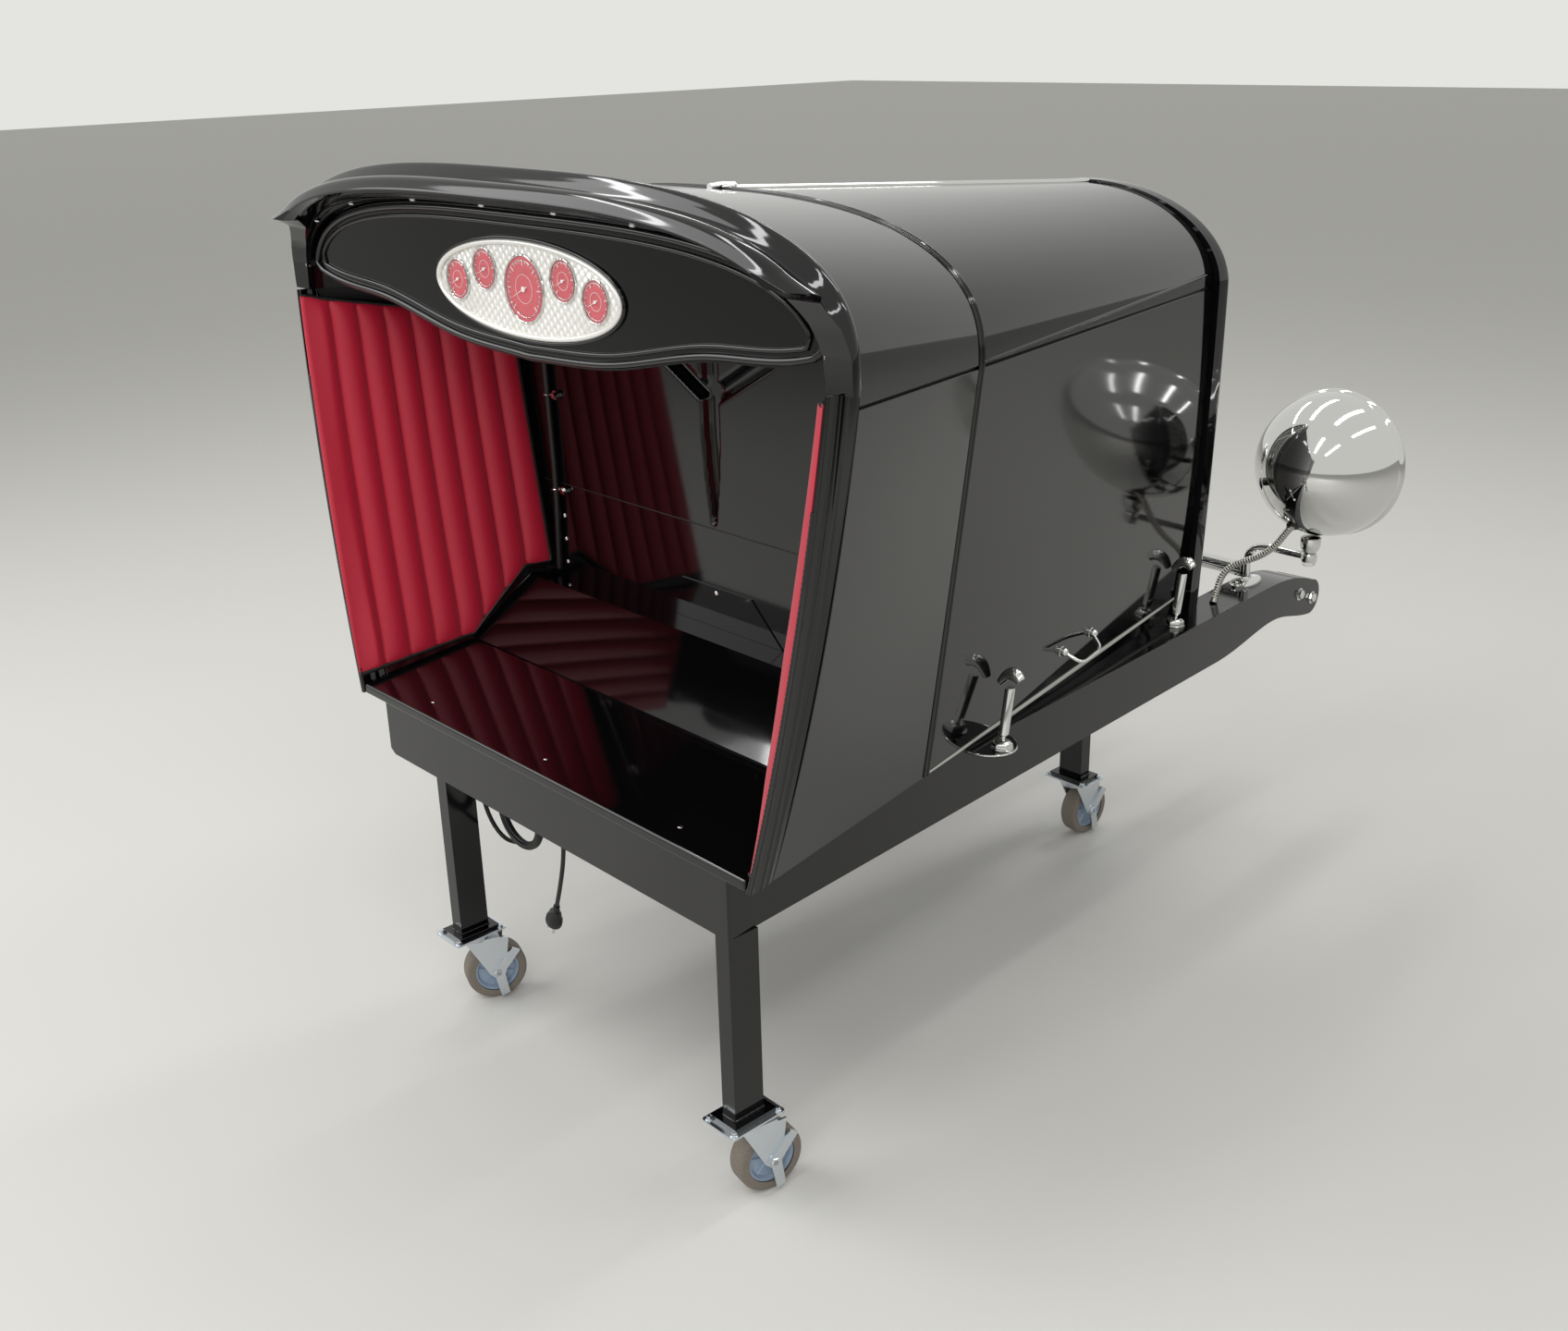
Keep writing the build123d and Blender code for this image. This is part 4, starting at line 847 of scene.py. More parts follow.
def make_firewall():
    """Firewall with a forked channel pressed forward, its edges rolled."""
    low, high = corners("firewall")
    z = spread(low[2], high[2] - 1.0, 170)[:, None]
    wide = np.abs(skin_line(np.full_like(z, FIREWALL), z, -SHEET - 1.0)[..., 0])
    across = spread(-1.0, 1.0, 181)[None, :]
    x = wide * np.sign(across) * np.abs(across) ** 1.35
    z = z + 0 * x
    fork, point, top = COWL_REAR.crease - 128, COWL_REAR.crease - 313, COWL_REAR.crease + 37
    half = [(7, point + 4), (16, point + 76), (21, fork - 40), (21, fork), (139, fork + 66),
            (127, fork + 92), (21, fork + 30), (21, top)]
    reach = reach_inside(x, z, [(0, point), *half, *[(-a, b) for a, b in reversed(half)]])
    rolled, press = 11.0, 15.0
    station = FIREWALL + press * np.sin(np.clip(reach / rolled, 0, 1) * np.pi / 2) ** 1.3
    mesh = shell(place(x, station, z), place(x, station + SHEET, z))
    add_piece("firewall_skin", mesh, gloss_black, replaces=("firewall",), sharp=60)


POST_DEPTH_LOW, POST_DEPTH_HIGH = 44.0, 37.0


def make_door_posts():
    """Stepped door posts with rolled ridges, and the rubber seal beside the trim."""
    high = np.linspace(0, 1, 50)[:, None]
    low = 1 - high
    foot_half, half = COWL_REAR.foot_half + 5, COWL_REAR.half + 2
    skin = bowed(foot_half, half, COWL_REAR.bow, high)
    corner = skin + 7.0 * low - 13.0 * high
    front = between(POST_FOOT, POST_STATION, high) - GAP
    rear = front - between(POST_DEPTH_LOW, POST_DEPTH_HIGH, high)
    u = np.linspace(0, 1, 60)[None, :]
    step = np.interp(u, (0, 0.50, 0.58, 0.70), (0, 0, -3, -3))
    lead = np.clip((u - 0.70) / 0.26, 0, 1)
    x = between(corner + step, skin, lead)
    ridge_rise, ridge_width, wall = 1.7, 0.045, 3.0
    for ridge in (0.06, 0.44, 0.76):
        x = x + ridge_rise * np.exp(-(((u - ridge) / ridge_width) ** 2))
    z = between(RAIL_TOP, POST_TOP, high)
    station = between(rear, front, u)
    mesh = shell(place(x, station, z), place(x - wall, station, z))
    path = resample(place(corner - 4.5, rear + 3.0, z)[:40, 0], 1.5)
    seal = tube(path, 3.6 + 0.25 * np.sin(np.arange(len(path)) * 1.3), 12)
    add_pair("door_jamb", mesh, gloss_black, "door_post", sharp=60)
    add_pair("door_seal", seal, black_binding_and_shade)


def make_cabin_fittings():
    """Firewall seam, cover screws, toe board screws and the bolts on the firewall's left side."""
    seam = tube(place(np.linspace(-436, 436, 40), FIREWALL + 0.4, 793.0), 1.3, 8)
    add_piece("firewall_seam", seam, black_binding_and_shade)
    screws = [screw_head(place(2.0, FIREWALL - 2.0, 692.0), REARWARD, 5.0, 2.6)]
    for x in (-300.0, 0.0, 300.0):
        screws.append(screw_head(place(x, 22.0, RAIL_TOP + 21.5), (0, 0.16, 1), 4.0, 1.6))
    for z in (737.0, 697.0, 657.0):
        screws.append(screw_head(place(-384.0, FIREWALL, z), REARWARD, 5.0, 3.2))
    add_piece("cabin_screws", join_parts(screws), chrome, slot="chrome")


def make_wiring():
    """Wiring pipe down the left of the firewall, and its two clips."""
    low, high = corners("wiring_conduit")
    y = (low[1] + high[1]) / 2
    route = [(-404.0, y, high[2]), (-392.0, y, 780.0), (-400.0, y, low[2])]
    path = resample(fillet_path(route, 60.0, 12), 6.0)
    add_piece("wiring_pipe", tube(path, 5.9, 16), cord_jacket, replaces=("wiring_conduit",))
    clips = []
    for z in (941.0, 783.0):
        x = np.interp(z, path[::-1, 2], path[::-1, 0])
        angle = circle(24)
        ring = np.stack((x + 7.0 * np.cos(angle), y + 7.0 * np.sin(angle), np.full(24, z)), axis=-1)
        tab = ((x + 7, y + 1, z), (x + 14, y + 3, z), (x + 24, y + 4, z))
        bolt = hex_head((x + 19, y + 1, z), REARWARD, 5.5, 5.0)
        clips += [tube(ring, 1.4, 8, True), tube(tab, 3.2, 8), bolt]
    add_piece("wiring_clips", join_parts(clips), chrome, slot="chrome")


def make_lip_screws():
    """Row of screws along the flange under the lip, and one in each wing."""
    flange_half, flange_rise = 566.0, 171.0
    parts = []
    for x in (-500.0, -392.0, -223.0, -55.0, 103.0, 258.0, 413.0, 515.0):
        z = arch_height(x, flange_half, flange_rise) - 0.5
        parts.append(screw_head(place(x, 30.0, z), (0, -0.25, -1), 5.0, 2.6))
    for sign in (1, -1):
        parts.append(screw_head(place(sign * 565.0, 40.0, 1165.0), (-sign, -0.2, 0), 5.0, 2.6))
    add_piece("lip_screws", join_parts(parts), chrome, slot="chrome")


# ------------------------------------------------------------------ nose
def shell_loop(half_low, half_high, bottom, spring, top):
    """Half loop of the grille shell from the bottom centre up to the top centre, as x and height."""
    foot, leg = (np.linspace(0, 1, count, endpoint=False) for count in (12, 30))
    turn = quarter(50)
    swell = between(half_low, half_high, np.sin(leg * np.pi / 2))
    x = (half_low * foot, swell, half_high * np.cos(turn))
    z = (np.full(12, bottom), between(bottom, spring, leg), between(spring, top, np.sin(turn)))
    return np.concatenate(x), np.concatenate(z)


def make_grille_shell():
    """Grille shell: a rounded rim carried between its outer and inner loops."""
    outer_x, outer_z = shell_loop(262.0, 276.0, RAIL_TOP, 1070.0, 1228.0)
    inner_x, inner_z = shell_loop(212.0, 226.0, RAIL_TOP + 90.0, 1060.0, 1170.0)
    profile = [(0.0, 0.0), (0.0, 11.0)]
    profile += [(0.42 * (1 - np.cos(a)), 22.0 + 16.0 * np.sin(a)) for a in quarter(10)]
    profile += [(1 - 0.2 * np.cos(a), 30.0 + 8.0 * np.cos(a)) for a in quarter(10)]
    profile = np.array([*profile, (1.0, 18.0), (1.0, 0.0)])
    share, depth = profile[:, :1], profile[:, 1:]
    x, z = between(outer_x, inner_x, share), between(outer_z, inner_z, share)
    right = place(x, NOSE + 1.0 + depth, z)
    ring = np.concatenate((right, right[:, -2:0:-1] * (-1, 1, 1)), axis=1)
    faces = grid_faces(*ring.shape[:2], wrap_rows=True, wrap_cols=True)
    add_piece("grille_shell_skin", (ring, faces), gloss_black, replaces=("grille_shell",), sharp=40)


LAMP = place(387.0, 1440.0, 750.0)
BOWL_RADIUS, BOWL_DEPTH, RIM_RADIUS = 126.5, 135.0, 130.0
FOOT_X, FOOT_STATION = 250.0, 1422.0
STUD_X, STUD_STATION = 387.0, 1397.0


def make_lamps():
    """Headlamps: deep polished bowls, rolled rims, reflectors and fluted lenses."""
    glass, lip = BOWL_RADIUS - 3, BOWL_RADIUS - 6
    rim_round, rim_depth, rim_middle = 9, 11, 11.5
    glass_edge, glass_bulge, hollow_top, hollow = 22.0, 15.0, 33.0, 13.0
    dish_rim, dish_depth, bulb_radius, bulb_middle = 18.0, 14.0, 9, 12
    bowl = [(BOWL_RADIUS * math.sin(a), -BOWL_DEPTH * math.cos(a)) for a in quarter(48)]
    bowl += [(glass, 0), (0, -4)]
    rolled = [(RIM_RADIUS - rim_round * (1 - math.sin(a)), rim_middle - rim_depth * math.cos(a))
              for a in 2 * quarter(14)]
    rim = [(lip, 0.4), *rolled, (lip, glass_edge)]
    shares = np.linspace(0, 1, 14)
    dome = [(glass * (1 - t), glass_edge + glass_bulge * (1 - (1 - t) ** 2)) for t in shares]
    back = [(glass * t, hollow_top - hollow * t**2) for t in shares]
    dish = [((BOWL_RADIUS - 8) * math.sin(a), dish_rim - dish_depth * math.cos(a)) for a in quarter(16)]
    bulb = [(bulb_radius * math.sin(a), bulb_middle - bulb_radius * math.cos(a)) for a in 2 * quarter(12)]
    for side, sign in SIDES:
        at = LAMP * (sign, 1, 1)
        add_piece(f"lamp_bowl_{side}", lathe(bowl, at, AHEAD, 96), chrome,
                  replaces=(f"lamp_bucket_{side}",), sharp=50, slot="chrome")
        add_piece(f"lamp_rim_{side}", lathe(rim, at, AHEAD, 96), chrome,
                  replaces=(f"lamp_lens_{side}",), sharp=50, slot="chrome")
        add_piece(f"lamp_glass_{side}", lathe([*dome, *back], at, AHEAD, 96), lamp_glass,
                  sharp=50, slot="lamp_glass")
        reflector = (lathe([*dish, (0, 1.0)], at, AHEAD, 64), lathe(bulb, at, AHEAD, 20))
        add_piece(f"lamp_reflector_{side}", join_parts(reflector), chrome, slot="chrome")


def make_lamp_stands():
    """Bright feet, bent arms, cups and nuts that carry the lamps."""
    arm_height = corners("lamp_stand_right")[1][2] - 36
    foot_length, foot_width = 41, 22
    rows = ((0, 0), (foot_length, 0), (foot_length, 3.5), (38, 6.5), (30, 8), (14, 9), (11, 14))
    foot, faces = lathe(rows, (0, 0, 0), turns=64)
    foot = foot * (foot_width / foot_length, 1, 1) + place(FOOT_X, FOOT_STATION, RAIL_TOP)
    route = [place(FOOT_X, FOOT_STATION, RAIL_TOP + 6), place(FOOT_X, FOOT_STATION, arm_height - 8),
             place(STUD_X, STUD_STATION, arm_height)]
    arm = bent_rod(route, 58.0, 16, 4.0, 6.9, 20)
    stud = place(STUD_X, STUD_STATION, arm_height - 16)
    cup = ((0, 22), (8, 22), (12, 25), (15.6, 31), (17.6, 38), (18, 45), (17.6, 51), (16, 52), (0, 52))
    nut = ((0, 0), (10, 0), (11.8, 1.5), (11.8, 12), (10, 14), (0, 14))
    collar = ((0, 8), (13, 8), (14, 10), (14, 21), (12.5, 23), (0, 23))
    turned = [lathe(cup, stud, turns=40), lathe(nut, stud, turns=6), lathe(collar, stud, turns=32)]
    screws = [screw_head(place(FOOT_X, FOOT_STATION + d, RAIL_TOP + 6.5), UP, 4.5, 2.5) for d in (-28, 28)]
    mesh = join_parts([(foot, faces), arm, *turned, *screws])
    add_pair("lamp_arm", mesh, chrome, "lamp_stand", slot="chrome")


def make_lamp_conduits():
    """Ribbed flexible conduits, whose radius ripples along their path, with end ferrules."""
    back, step, rib_pitch = 84.0, 0.9, 4.8
    underside = LAMP[2] - BOWL_RADIUS * math.sqrt(1 - (back / BOWL_DEPTH) ** 2)
    route = [(LAMP[0] - 14, LAMP[1] - back, underside + 4), (LAMP[0] - 50, LAMP[1] - 94, RAIL_TOP + 92),
             (LAMP[0] - 122, LAMP[1] - 120, RAIL_TOP + 58), (LAMP[0] - 117, LAMP[1] - 154, RAIL_TOP + 0.5)]
    path = resample(fillet_path(route, 34.0, 16), step)
    along = np.arange(len(path)) * step
    ribbed = tube(path, 5.8 + 0.6 * np.sin(2 * np.pi * along / rib_pitch), 16)
    flex = join_parts((ribbed, tube(path[:10], 7.2, 20), tube(path[-9:], 7.0, 20)))
    grommet = ((7.0, -2), (11.0, -2), (11.5, 1.5), (10.0, 4.0), (7.0, 4.5))
    grommet = lathe(grommet, path[0] - (0, 0, 2.5), (0.10, -0.55, -0.83), 28)
    reach, angle = RIM_RADIUS * 1.01, 0.12
    clip_x, clip_z = LAMP[0] - reach * math.cos(angle), LAMP[2] - reach * math.sin(angle)
    clip = tube([(clip_x, LAMP[1] + d, clip_z) for d in (-9, 4, 20)], (5.0, 6.5, 5.0), 10, squash=0.5)
    add_pair("lamp_grommet", grommet, black_binding_and_shade)
    add_pair("lamp_clip", clip, chrome, slot="chrome")
    add_pair("lamp_flex", flex, conduit_steel, "lamp_conduit", sharp=60, slot="flexible_conduit")


LATCHES = ((407.0, 539.0), (288.0, 1142.0))
LATCH_LEAN = 0.17


def hood_latch(x, station):
    """A hood latch: domed hexagon base, thin rod, round grip and a claw that leans to the hood."""
    base = place(x, station, RAIL_TOP)
    nut = ((0, 0), (17, 0), (17, 1.6), (15, 1.8), (15, 8), (13.2, 10.5), (9, 12.5), (0, 13.5))
    washer, rod = ((0, 0), (17, 0), (17, 1.4), (0, 1.6)), ((0, 10), (3.1, 10), (3.1, 30), (0, 30))
    grip = ((0, 20), (5.6, 20), (7.3, 22), (7.5, 40), (7.5, 88), (6.6, 91), (0, 91))
    t = np.linspace(0, 1, 16)
    top = RAIL_TOP + 99.0 + 14.0 * np.sin(np.pi * np.clip(0.12 + 0.80 * t, 0, 1)) - 8.0 * t**2
    claw = tube(place(x + 17.0 - 36.0 * t, station, top), 9.5 * np.sin(np.pi * (0.2 + 0.66 * t)) ** 0.6, 16)
    points, faces = join_parts((lathe(nut, base, turns=6), lathe(washer, base, turns=32),
                                lathe(rod, base, turns=16), lathe(grip, base, turns=28), claw))
    points[:, 1] += LATCH_LEAN * np.maximum(points[:, 2] - RAIL_TOP - 12, 0)
    return points, faces


def bail_handle():
    """Bent rod handle low on the hood side, held by two acorn nuts."""
    z, reach = RAIL_TOP + 70.0, 32
    feet = skin_line(np.array((762.0, 860.0)), z, 0.3)
    (xa, ya, _), (xb, yb, _) = feet
    route = [(xa + 3, ya, z), (xa + reach, ya + 12, z - 16), (xb + reach, yb - 12, z - 16), (xb + 3, yb, z)]
    dome = [(6.8 * math.cos(a), 6.5 + 6.0 * math.sin(a)) for a in quarter(8)]
    nut = [(0, 0), (8.5, 0), (8.5, 1.4), (6.8, 1.8), *dome]
    outward = (1, 0.18, -0.1)
    return [bent_rod(route, 16.0, 12, 2.0, 3.0, 14), *(lathe(nut, foot, outward, 24) for foot in feet)]


def make_latches():
    """Two bright latches a side, the rear one on a rimmed half round tab, and a bail handle."""
    (latch_x, station), tab_half, tab_thick = LATCHES[0], 44, 4.0
    angle = np.linspace(-np.pi / 2, np.pi / 2, 40)
    along = tab_half * np.sin(angle)
    inner = rail_side(station)
    rows = np.array((0.0, 0.5, 1.0))[:, None]
    x = inner - RAIL_LEAN * along + (latch_x + 18.0 - inner) * np.cos(angle) * rows
    top = place(x, station + along, RAIL_TOP)
    rim = tube(resample(top[-1] - (0, 0, 1.4), 3.0), 1.5, 10)
    latches = join_parts([*(hood_latch(*spot) for spot in LATCHES), *bail_handle(), rim])
    add_pair("hood_latch", latches, chrome, "hood_latches", slot="chrome")
    add_pair("latch_tab", shell(top, top - (0, 0, tab_thick)), gloss_black, bevel=1.0)


def make_hinge_clip():
    """Bright clip at the rear end of the hood's hinge rod, with two small ears."""
    top = COWL_FRONT.top
    rod = [(0, -22, 3), (0, 0, 4), (0, 24, 2)]
    ears = [[(s * 6, -2, 2), (s * 13, 3, 3), (s * 17, 8, 0)] for s in (1, -1)]
    start = place(0, SEAM, top)
    parts = [tube(start + rod, 5.5, 14), *(tube(start + ear, 4.2, 12) for ear in ears)]
    add_piece("hinge_clip", join_parts(parts), chrome, slot="chrome")


def make_rail_bolts():
    """Bright bolt heads on the horns."""
    bolts = [hex_head(place(rail_side(station), station, z), (1, 0.081, 0), 9.0, 8.0)
             for station, z in ((1554.0, 456.0), (1608.0, 435.0))]
    add_piece("horn_bolts", join_both_sides(bolts), chrome, slot="chrome")


# ------------------------------------------------------------------ legs and casters
WHEEL_HALF, WHEEL_RADIUS, HUB_RADIUS = 16.0, 50.0, 36.0
FORK_GAP = 5.0


def wheel_axis(key):
    """Centre and axis of a caster wheel, from its hub and its joint."""
    low, high = corners(f"caster_hub_{key}")
    joint = next(j for j in frame["joints"] if j["name"] == f"wheel_spin_{key}")
    return (low + high) / 2, np.array(joint["axis"], float)


def make_wheels():
    """Caster wheels: a crowned tread and a dished hub with a ring of webs."""
    round_over = 5
    edge, flat = WHEEL_RADIUS - round_over, WHEEL_HALF - round_over
    crown = [(edge + round_over * math.sin(a), -flat - round_over * math.cos(a)) for a in quarter(6)]
    crown += [(edge + round_over * math.cos(a), flat + round_over * math.sin(a)) for a in quarter(6)]
    tread_rows = [(HUB_RADIUS, -WHEEL_HALF), *crown, (HUB_RADIUS, WHEEL_HALF)]
    half_hub = [(4.2, 15), (11, 15), (12, 13), (13, 8), (30, 8), (31, 11), (33, 14), (35.9, 14)]
    hub_rows = [*((radius, -height) for radius, height in half_hub), *half_hub[::-1]]
    for key in LEGS:
        centre, axis = wheel_axis(key)
        body = f"wheel_{key}"
        add_piece(f"tread_{key}", lathe(tread_rows, centre, axis, 72), tread_rubber, body=body,
                  replaces=(f"caster_tread_{key}",), slot="caster_rubber")
        parts = [lathe(hub_rows, centre, axis, 64)]
        side = np.cross(axis, UP)
        web_radii, web_width = np.array((10.0, 20.0, 32.0))[:, None], 10.5
        for angle in np.radians(60 * np.arange(6) + 15):
            direction = side * math.cos(angle) + np.array(UP) * math.sin(angle)
            parts.append(tube(centre + direction * web_radii, web_width, 8, squash=0.25))
        add_piece(f"hub_{key}", join_parts(parts), hub_plastic, body=body,
                  replaces=(f"caster_hub_{key}",), slot="hub_plastic")


def make_caster_fittings():
    """Ball races, plate bolts and axle nuts of the casters."""
    race = ((0, -12), (22, -12), (25.5, -10), (26, -7.5), (24, -6), (26, -4.5), (25.5, -3.2), (0, -3.2))
    for key in LEGS:
        low, high = corners(f"caster_plate_{key}")
        leg_low, leg_high = corners(f"leg_{key}")
        middle = np.array((*((leg_low + leg_high) / 2)[:2], high[2]))
        half_x, half_y = (high - low)[:2] / 2 - 8.0
        bolts = [hex_head(middle + (sx * half_x, sy * half_y, 0), UP, 4.2, 4.5)
                 for sx in (1, -1) for sy in (1, -1)]
        fittings = join_parts((lathe(race, middle), *bolts))
        add_piece(f"caster_bolts_{key}", fittings, zinc, slot="zinc_plate")
        centre, axis = wheel_axis(key)
        out = WHEEL_HALF + FORK_GAP
        nuts = [hex_head(centre + axis * s * out, axis * s, 7.5, 6.0) for s in (1, -1)]
        add_piece(f"axle_nuts_{key}", join_parts(nuts), zinc, body=f"swivel_{key}", slot="zinc_plate")


def make_leg_welds():
    """Weld beads where each leg meets its foot plate."""
    wide, narrow = 25.4, 12.7
    for key in LEGS:
        low, high = corners(f"leg_{key}")
        half_x, half_y = (wide, narrow) if key == "front" else (narrow, wide)
        foot = np.array((*((low + high) / 2)[:2], low[2] + 6.6))
        ring = [foot + (sx * half_x, sy * half_y, 0) for sx, sy in ((1, 1), (1, -1), (-1, -1), (-1, 1))]
        path = resample([*ring, ring[0]], 3.0)[:-1]
        bead = tube(path, 1.8 + 0.4 * np.sin(np.arange(len(path)) * 1.9), 8, True)
        add_piece(f"leg_weld_{key}", bead, satin_black)


# ------------------------------------------------------------------ cord
CORD_DIAMETER = 7.0
GLAND = (-268.0, 70.0, 407.0)
CORD_LEAD = [GLAND, (-268.0, 70.0, 348.0), (-232.0, 78.0, 290.0)]
CORD_TAIL = [(-118.0, 84.0, 437.0), (-38.0, 66.0, 437.0), (-40.0, 67.0, 352.0), (-60.0, 70.0, 284.0),
             (-84.0, 74.0, 231.0)]
TURN_POINTS = 14
COIL_WOBBLE = 3.6


def cord_route():
    """Chosen points of the cord, with the coil's turns worked out round the hook."""
    low, high = corners("cord_coil")
    centre = (low + high) / 2
    i = np.arange(TURN_POINTS * stand().coil_turns + 4)
    angle = 2 * np.pi * i / TURN_POINTS - np.pi / 2
    layer = 2.4 * i / TURN_POINTS
    reach = (high[0] - low[0]) / 2 - 11.0 + COIL_WOBBLE * np.sin(layer)
    across, along = reach * np.cos(angle), COIL_WOBBLE * np.cos(layer)
    turns = centre + np.stack((across, along, reach * np.sin(angle)), axis=-1)
    lead, tail = (place(*np.transpose(points)) for points in (CORD_LEAD, CORD_TAIL))
    return np.concatenate((lead, turns, tail))


def make_cord():
    """The lamps' power cord: out of its gland, six turns over the hook, and down to its plug."""
    points = cord_route() * MM
    curve = bpy.data.curves.new("cord_line", "CURVE")
    curve.dimensions = "3D"
    spline = curve.splines.new("NURBS")
    spline.points.add(len(points) - 1)
    for point, spot in zip(spline.points, points):
        point.co = (*spot, 1.0)
    spline.order_u = 3
    spline.use_endpoint_u = True
    spline.resolution_u = 6
    curve.bevel_depth = CORD_DIAMETER / 2 * MM
    curve.bevel_resolution = 4
    curve.use_fill_caps = True
    cord = bpy.data.objects.new("power_cord_line", curve)
    bpy.context.collection.objects.link(cord)
    curve.materials.append(use(cord_jacket))
    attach(cord, "body")
    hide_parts("power_cord", "cord_coil")
    plug = make_plug(points[-1] / MM, points[-1] / MM - points[-2] / MM)
    length = route_length(curve)


def route_length(curve):
    """Length of the smooth line, measured on a copy with no bevel."""
    bare = curve.copy()
    bare.bevel_depth = 0.0
    holder = bpy.data.objects.new("cord_measure", bare)
    mesh = bpy.data.meshes.new_from_object(holder)
    points = np.array([v.co for v in mesh.vertices])
    bpy.data.objects.remove(holder)
    return float(np.linalg.norm(np.diff(points, axis=0), axis=1).sum())


def make_gland_relief():
    """Tapered ribbed sleeve that guides the cord out of its gland."""
    ribs = [(7.2 - 0.085 * h + 0.35 * math.sin(1.5 * h), h) for h in np.linspace(0, 34, 70)]
    sleeve = lathe([(0, -2), (7.5, -2), *ribs, (0, 34.5)], place(*GLAND), (0, 0, -1), 28)
    add_piece("gland_relief", sleeve, cord_jacket)


def make_plug(top, direction):
    """Three pin plug: ribbed relief, waisted body and bright blades."""
    axis = direction / np.linalg.norm(direction)
    side = np.cross(axis, AHEAD)
    side /= np.linalg.norm(side)
    across = np.cross(axis, side)
    ribs = [(4.6 + 0.08 * h + 0.5 * math.sin(2.2 * h), h) for h in np.linspace(0, 14, 29)]
    relief = [(0, 0), *ribs, (0, 14.5)]
    body = [(0, 13), (7, 13), (11, 17), (12, 24), (15.0, 29), (15.5, 38), (14.5, 42), (0, 42)]
    points, faces = lathe(body, (0, 0, 0), turns=40)
    flat_share = 0.78
    flattened = (points * (1.0, flat_share, 1.0)) @ np.stack((side, across, axis)) + top
    plug = add_piece("cord_plug", join_parts((lathe(relief, top, axis, 24), (flattened, faces))), cord_jacket,
                     replaces=("power_plug",))
    blades = []
    for a, b, radius in ((-6.5, 3.0, 2.4), (6.5, 3.0, 2.4), (0.0, -6.0, 2.2)):
        path = top + a * side + b * across + axis * np.array((41.0, 49.0, 57.5))[:, None]
        blades.append(tube(path, radius, 12))
    add_piece("plug_blades", join_parts(blades), chrome, slot="chrome")
    return plug


# ------------------------------------------------------------------ stage
def add_light(name, spot, size, energy, target=None):
    """A rectangular light at a place in metres, turned to its target or straight down."""
    data = bpy.data.lights.new(name, "AREA")
    data.shape = "RECTANGLE"
    data.size, data.size_y = size
    data.energy = energy
    light = bpy.data.objects.new(name, data)
    light.location = spot
    if target:
        light.rotation_euler = (Vector(target) - Vector(spot)).to_track_quat("-Z", "Y").to_euler()
    bpy.context.collection.objects.link(light)
    return light


def make_room():
    """Pale room light, at full strength only where it is seen, mirrored or seen through glass."""
    world = bpy.data.worlds.new("studio")
    bpy.context.scene.world = world
    world.use_nodes = True
    tree = world.node_tree
    background = tree.nodes["Background"]
    background.inputs["Color"].default_value = linear("#E4E4E1")
    rays = node(tree, "ShaderNodeLightPath").outputs
    seen = rays["Is Camera Ray"]
    for kind in ("Is Glossy Ray", "Is Transmission Ray"):
        seen = node(tree, "ShaderNodeMath", [(0, seen), (1, rays[kind])], operation="ADD").outputs[0]
    level = node(tree, "ShaderNodeMapRange", [("Value", seen)], To_Min=0.55)
    tree.links.new(level.outputs["Result"], background.inputs["Strength"])


def make_stage():
    """Pale floor, soft room light with ceiling strips, a key and a fill."""
    bpy.context.scene.view_settings.view_transform = "Standard"
    reach = 30.0
    square = [(sx * reach, sy * reach, 0) for sx, sy in ((-1, -1), (1, -1), (1, 1), (-1, 1))]
    floor_mesh = bpy.data.meshes.new("stage_floor")
    floor_mesh.from_pydata(square, [], [(0, 1, 2, 3)])
    floor = bpy.data.objects.new("stage_floor", floor_mesh)
    bpy.context.collection.objects.link(floor)
    floor_mesh.materials.append(finish("studio_floor", "#C9C8C4", 0.55, grain=40.0, depth=0.0))
    make_room()
    for x in (-2.4, -0.8, 0.8, 2.4):
        for y in (1.6, -2.4):
            add_light("ceiling_strip", (x, y, 3.4), (0.2, 2.6), 20.0)
    add_light("key", (-2.6, -3.2, 3.0), (3.0, 3.0), 70.0, target=(0, -0.4, 0.8))
    fill = add_light("fill", (2.6, -3.4, 1.9), (2.4, 2.4), 60.0, target=(-0.3, -0.6, 0.8))
    fill.visible_glossy = False


def make_camera():
    """Camera behind the right rear corner, looking down along the stand."""
    turn, dip, roll = math.radians(47.76), math.radians(21.53), math.radians(1.44)
    forward = Vector((-math.sin(turn) * math.cos(dip), math.cos(turn) * math.cos(dip), -math.sin(dip)))
    right = Vector((math.cos(turn), math.sin(turn), 0.0))
    down = forward.cross(right)
    rolled_right = math.cos(roll) * right + math.sin(roll) * down
    rolled_down = math.cos(roll) * down - math.sin(roll) * right
    data = bpy.data.cameras.new("camera")
    data.lens = 37.55
    data.sensor_width = 36.0
    data.shift_x = 0.0031
    data.clip_end = 200.0
    camera = bpy.data.objects.new("camera", data)
    camera.matrix_world = Matrix((rolled_right, -rolled_down, -forward)).transposed().to_4x4()
    camera.location = (1.794, -1.969, 1.495)
    bpy.context.collection.objects.link(camera)
    bpy.context.scene.camera = camera


NODE_FINISHES = (
    (("caster_plate", "caster_fork", "cord_hook"), zinc),
    (("lamp_crossbar", "hood_hinge", "grille"), chrome),
    (("leg_", "frame_rail", "front_crossmember", "rear_crossmember"), satin_black),
    (("cord_gland",), cord_jacket),
)


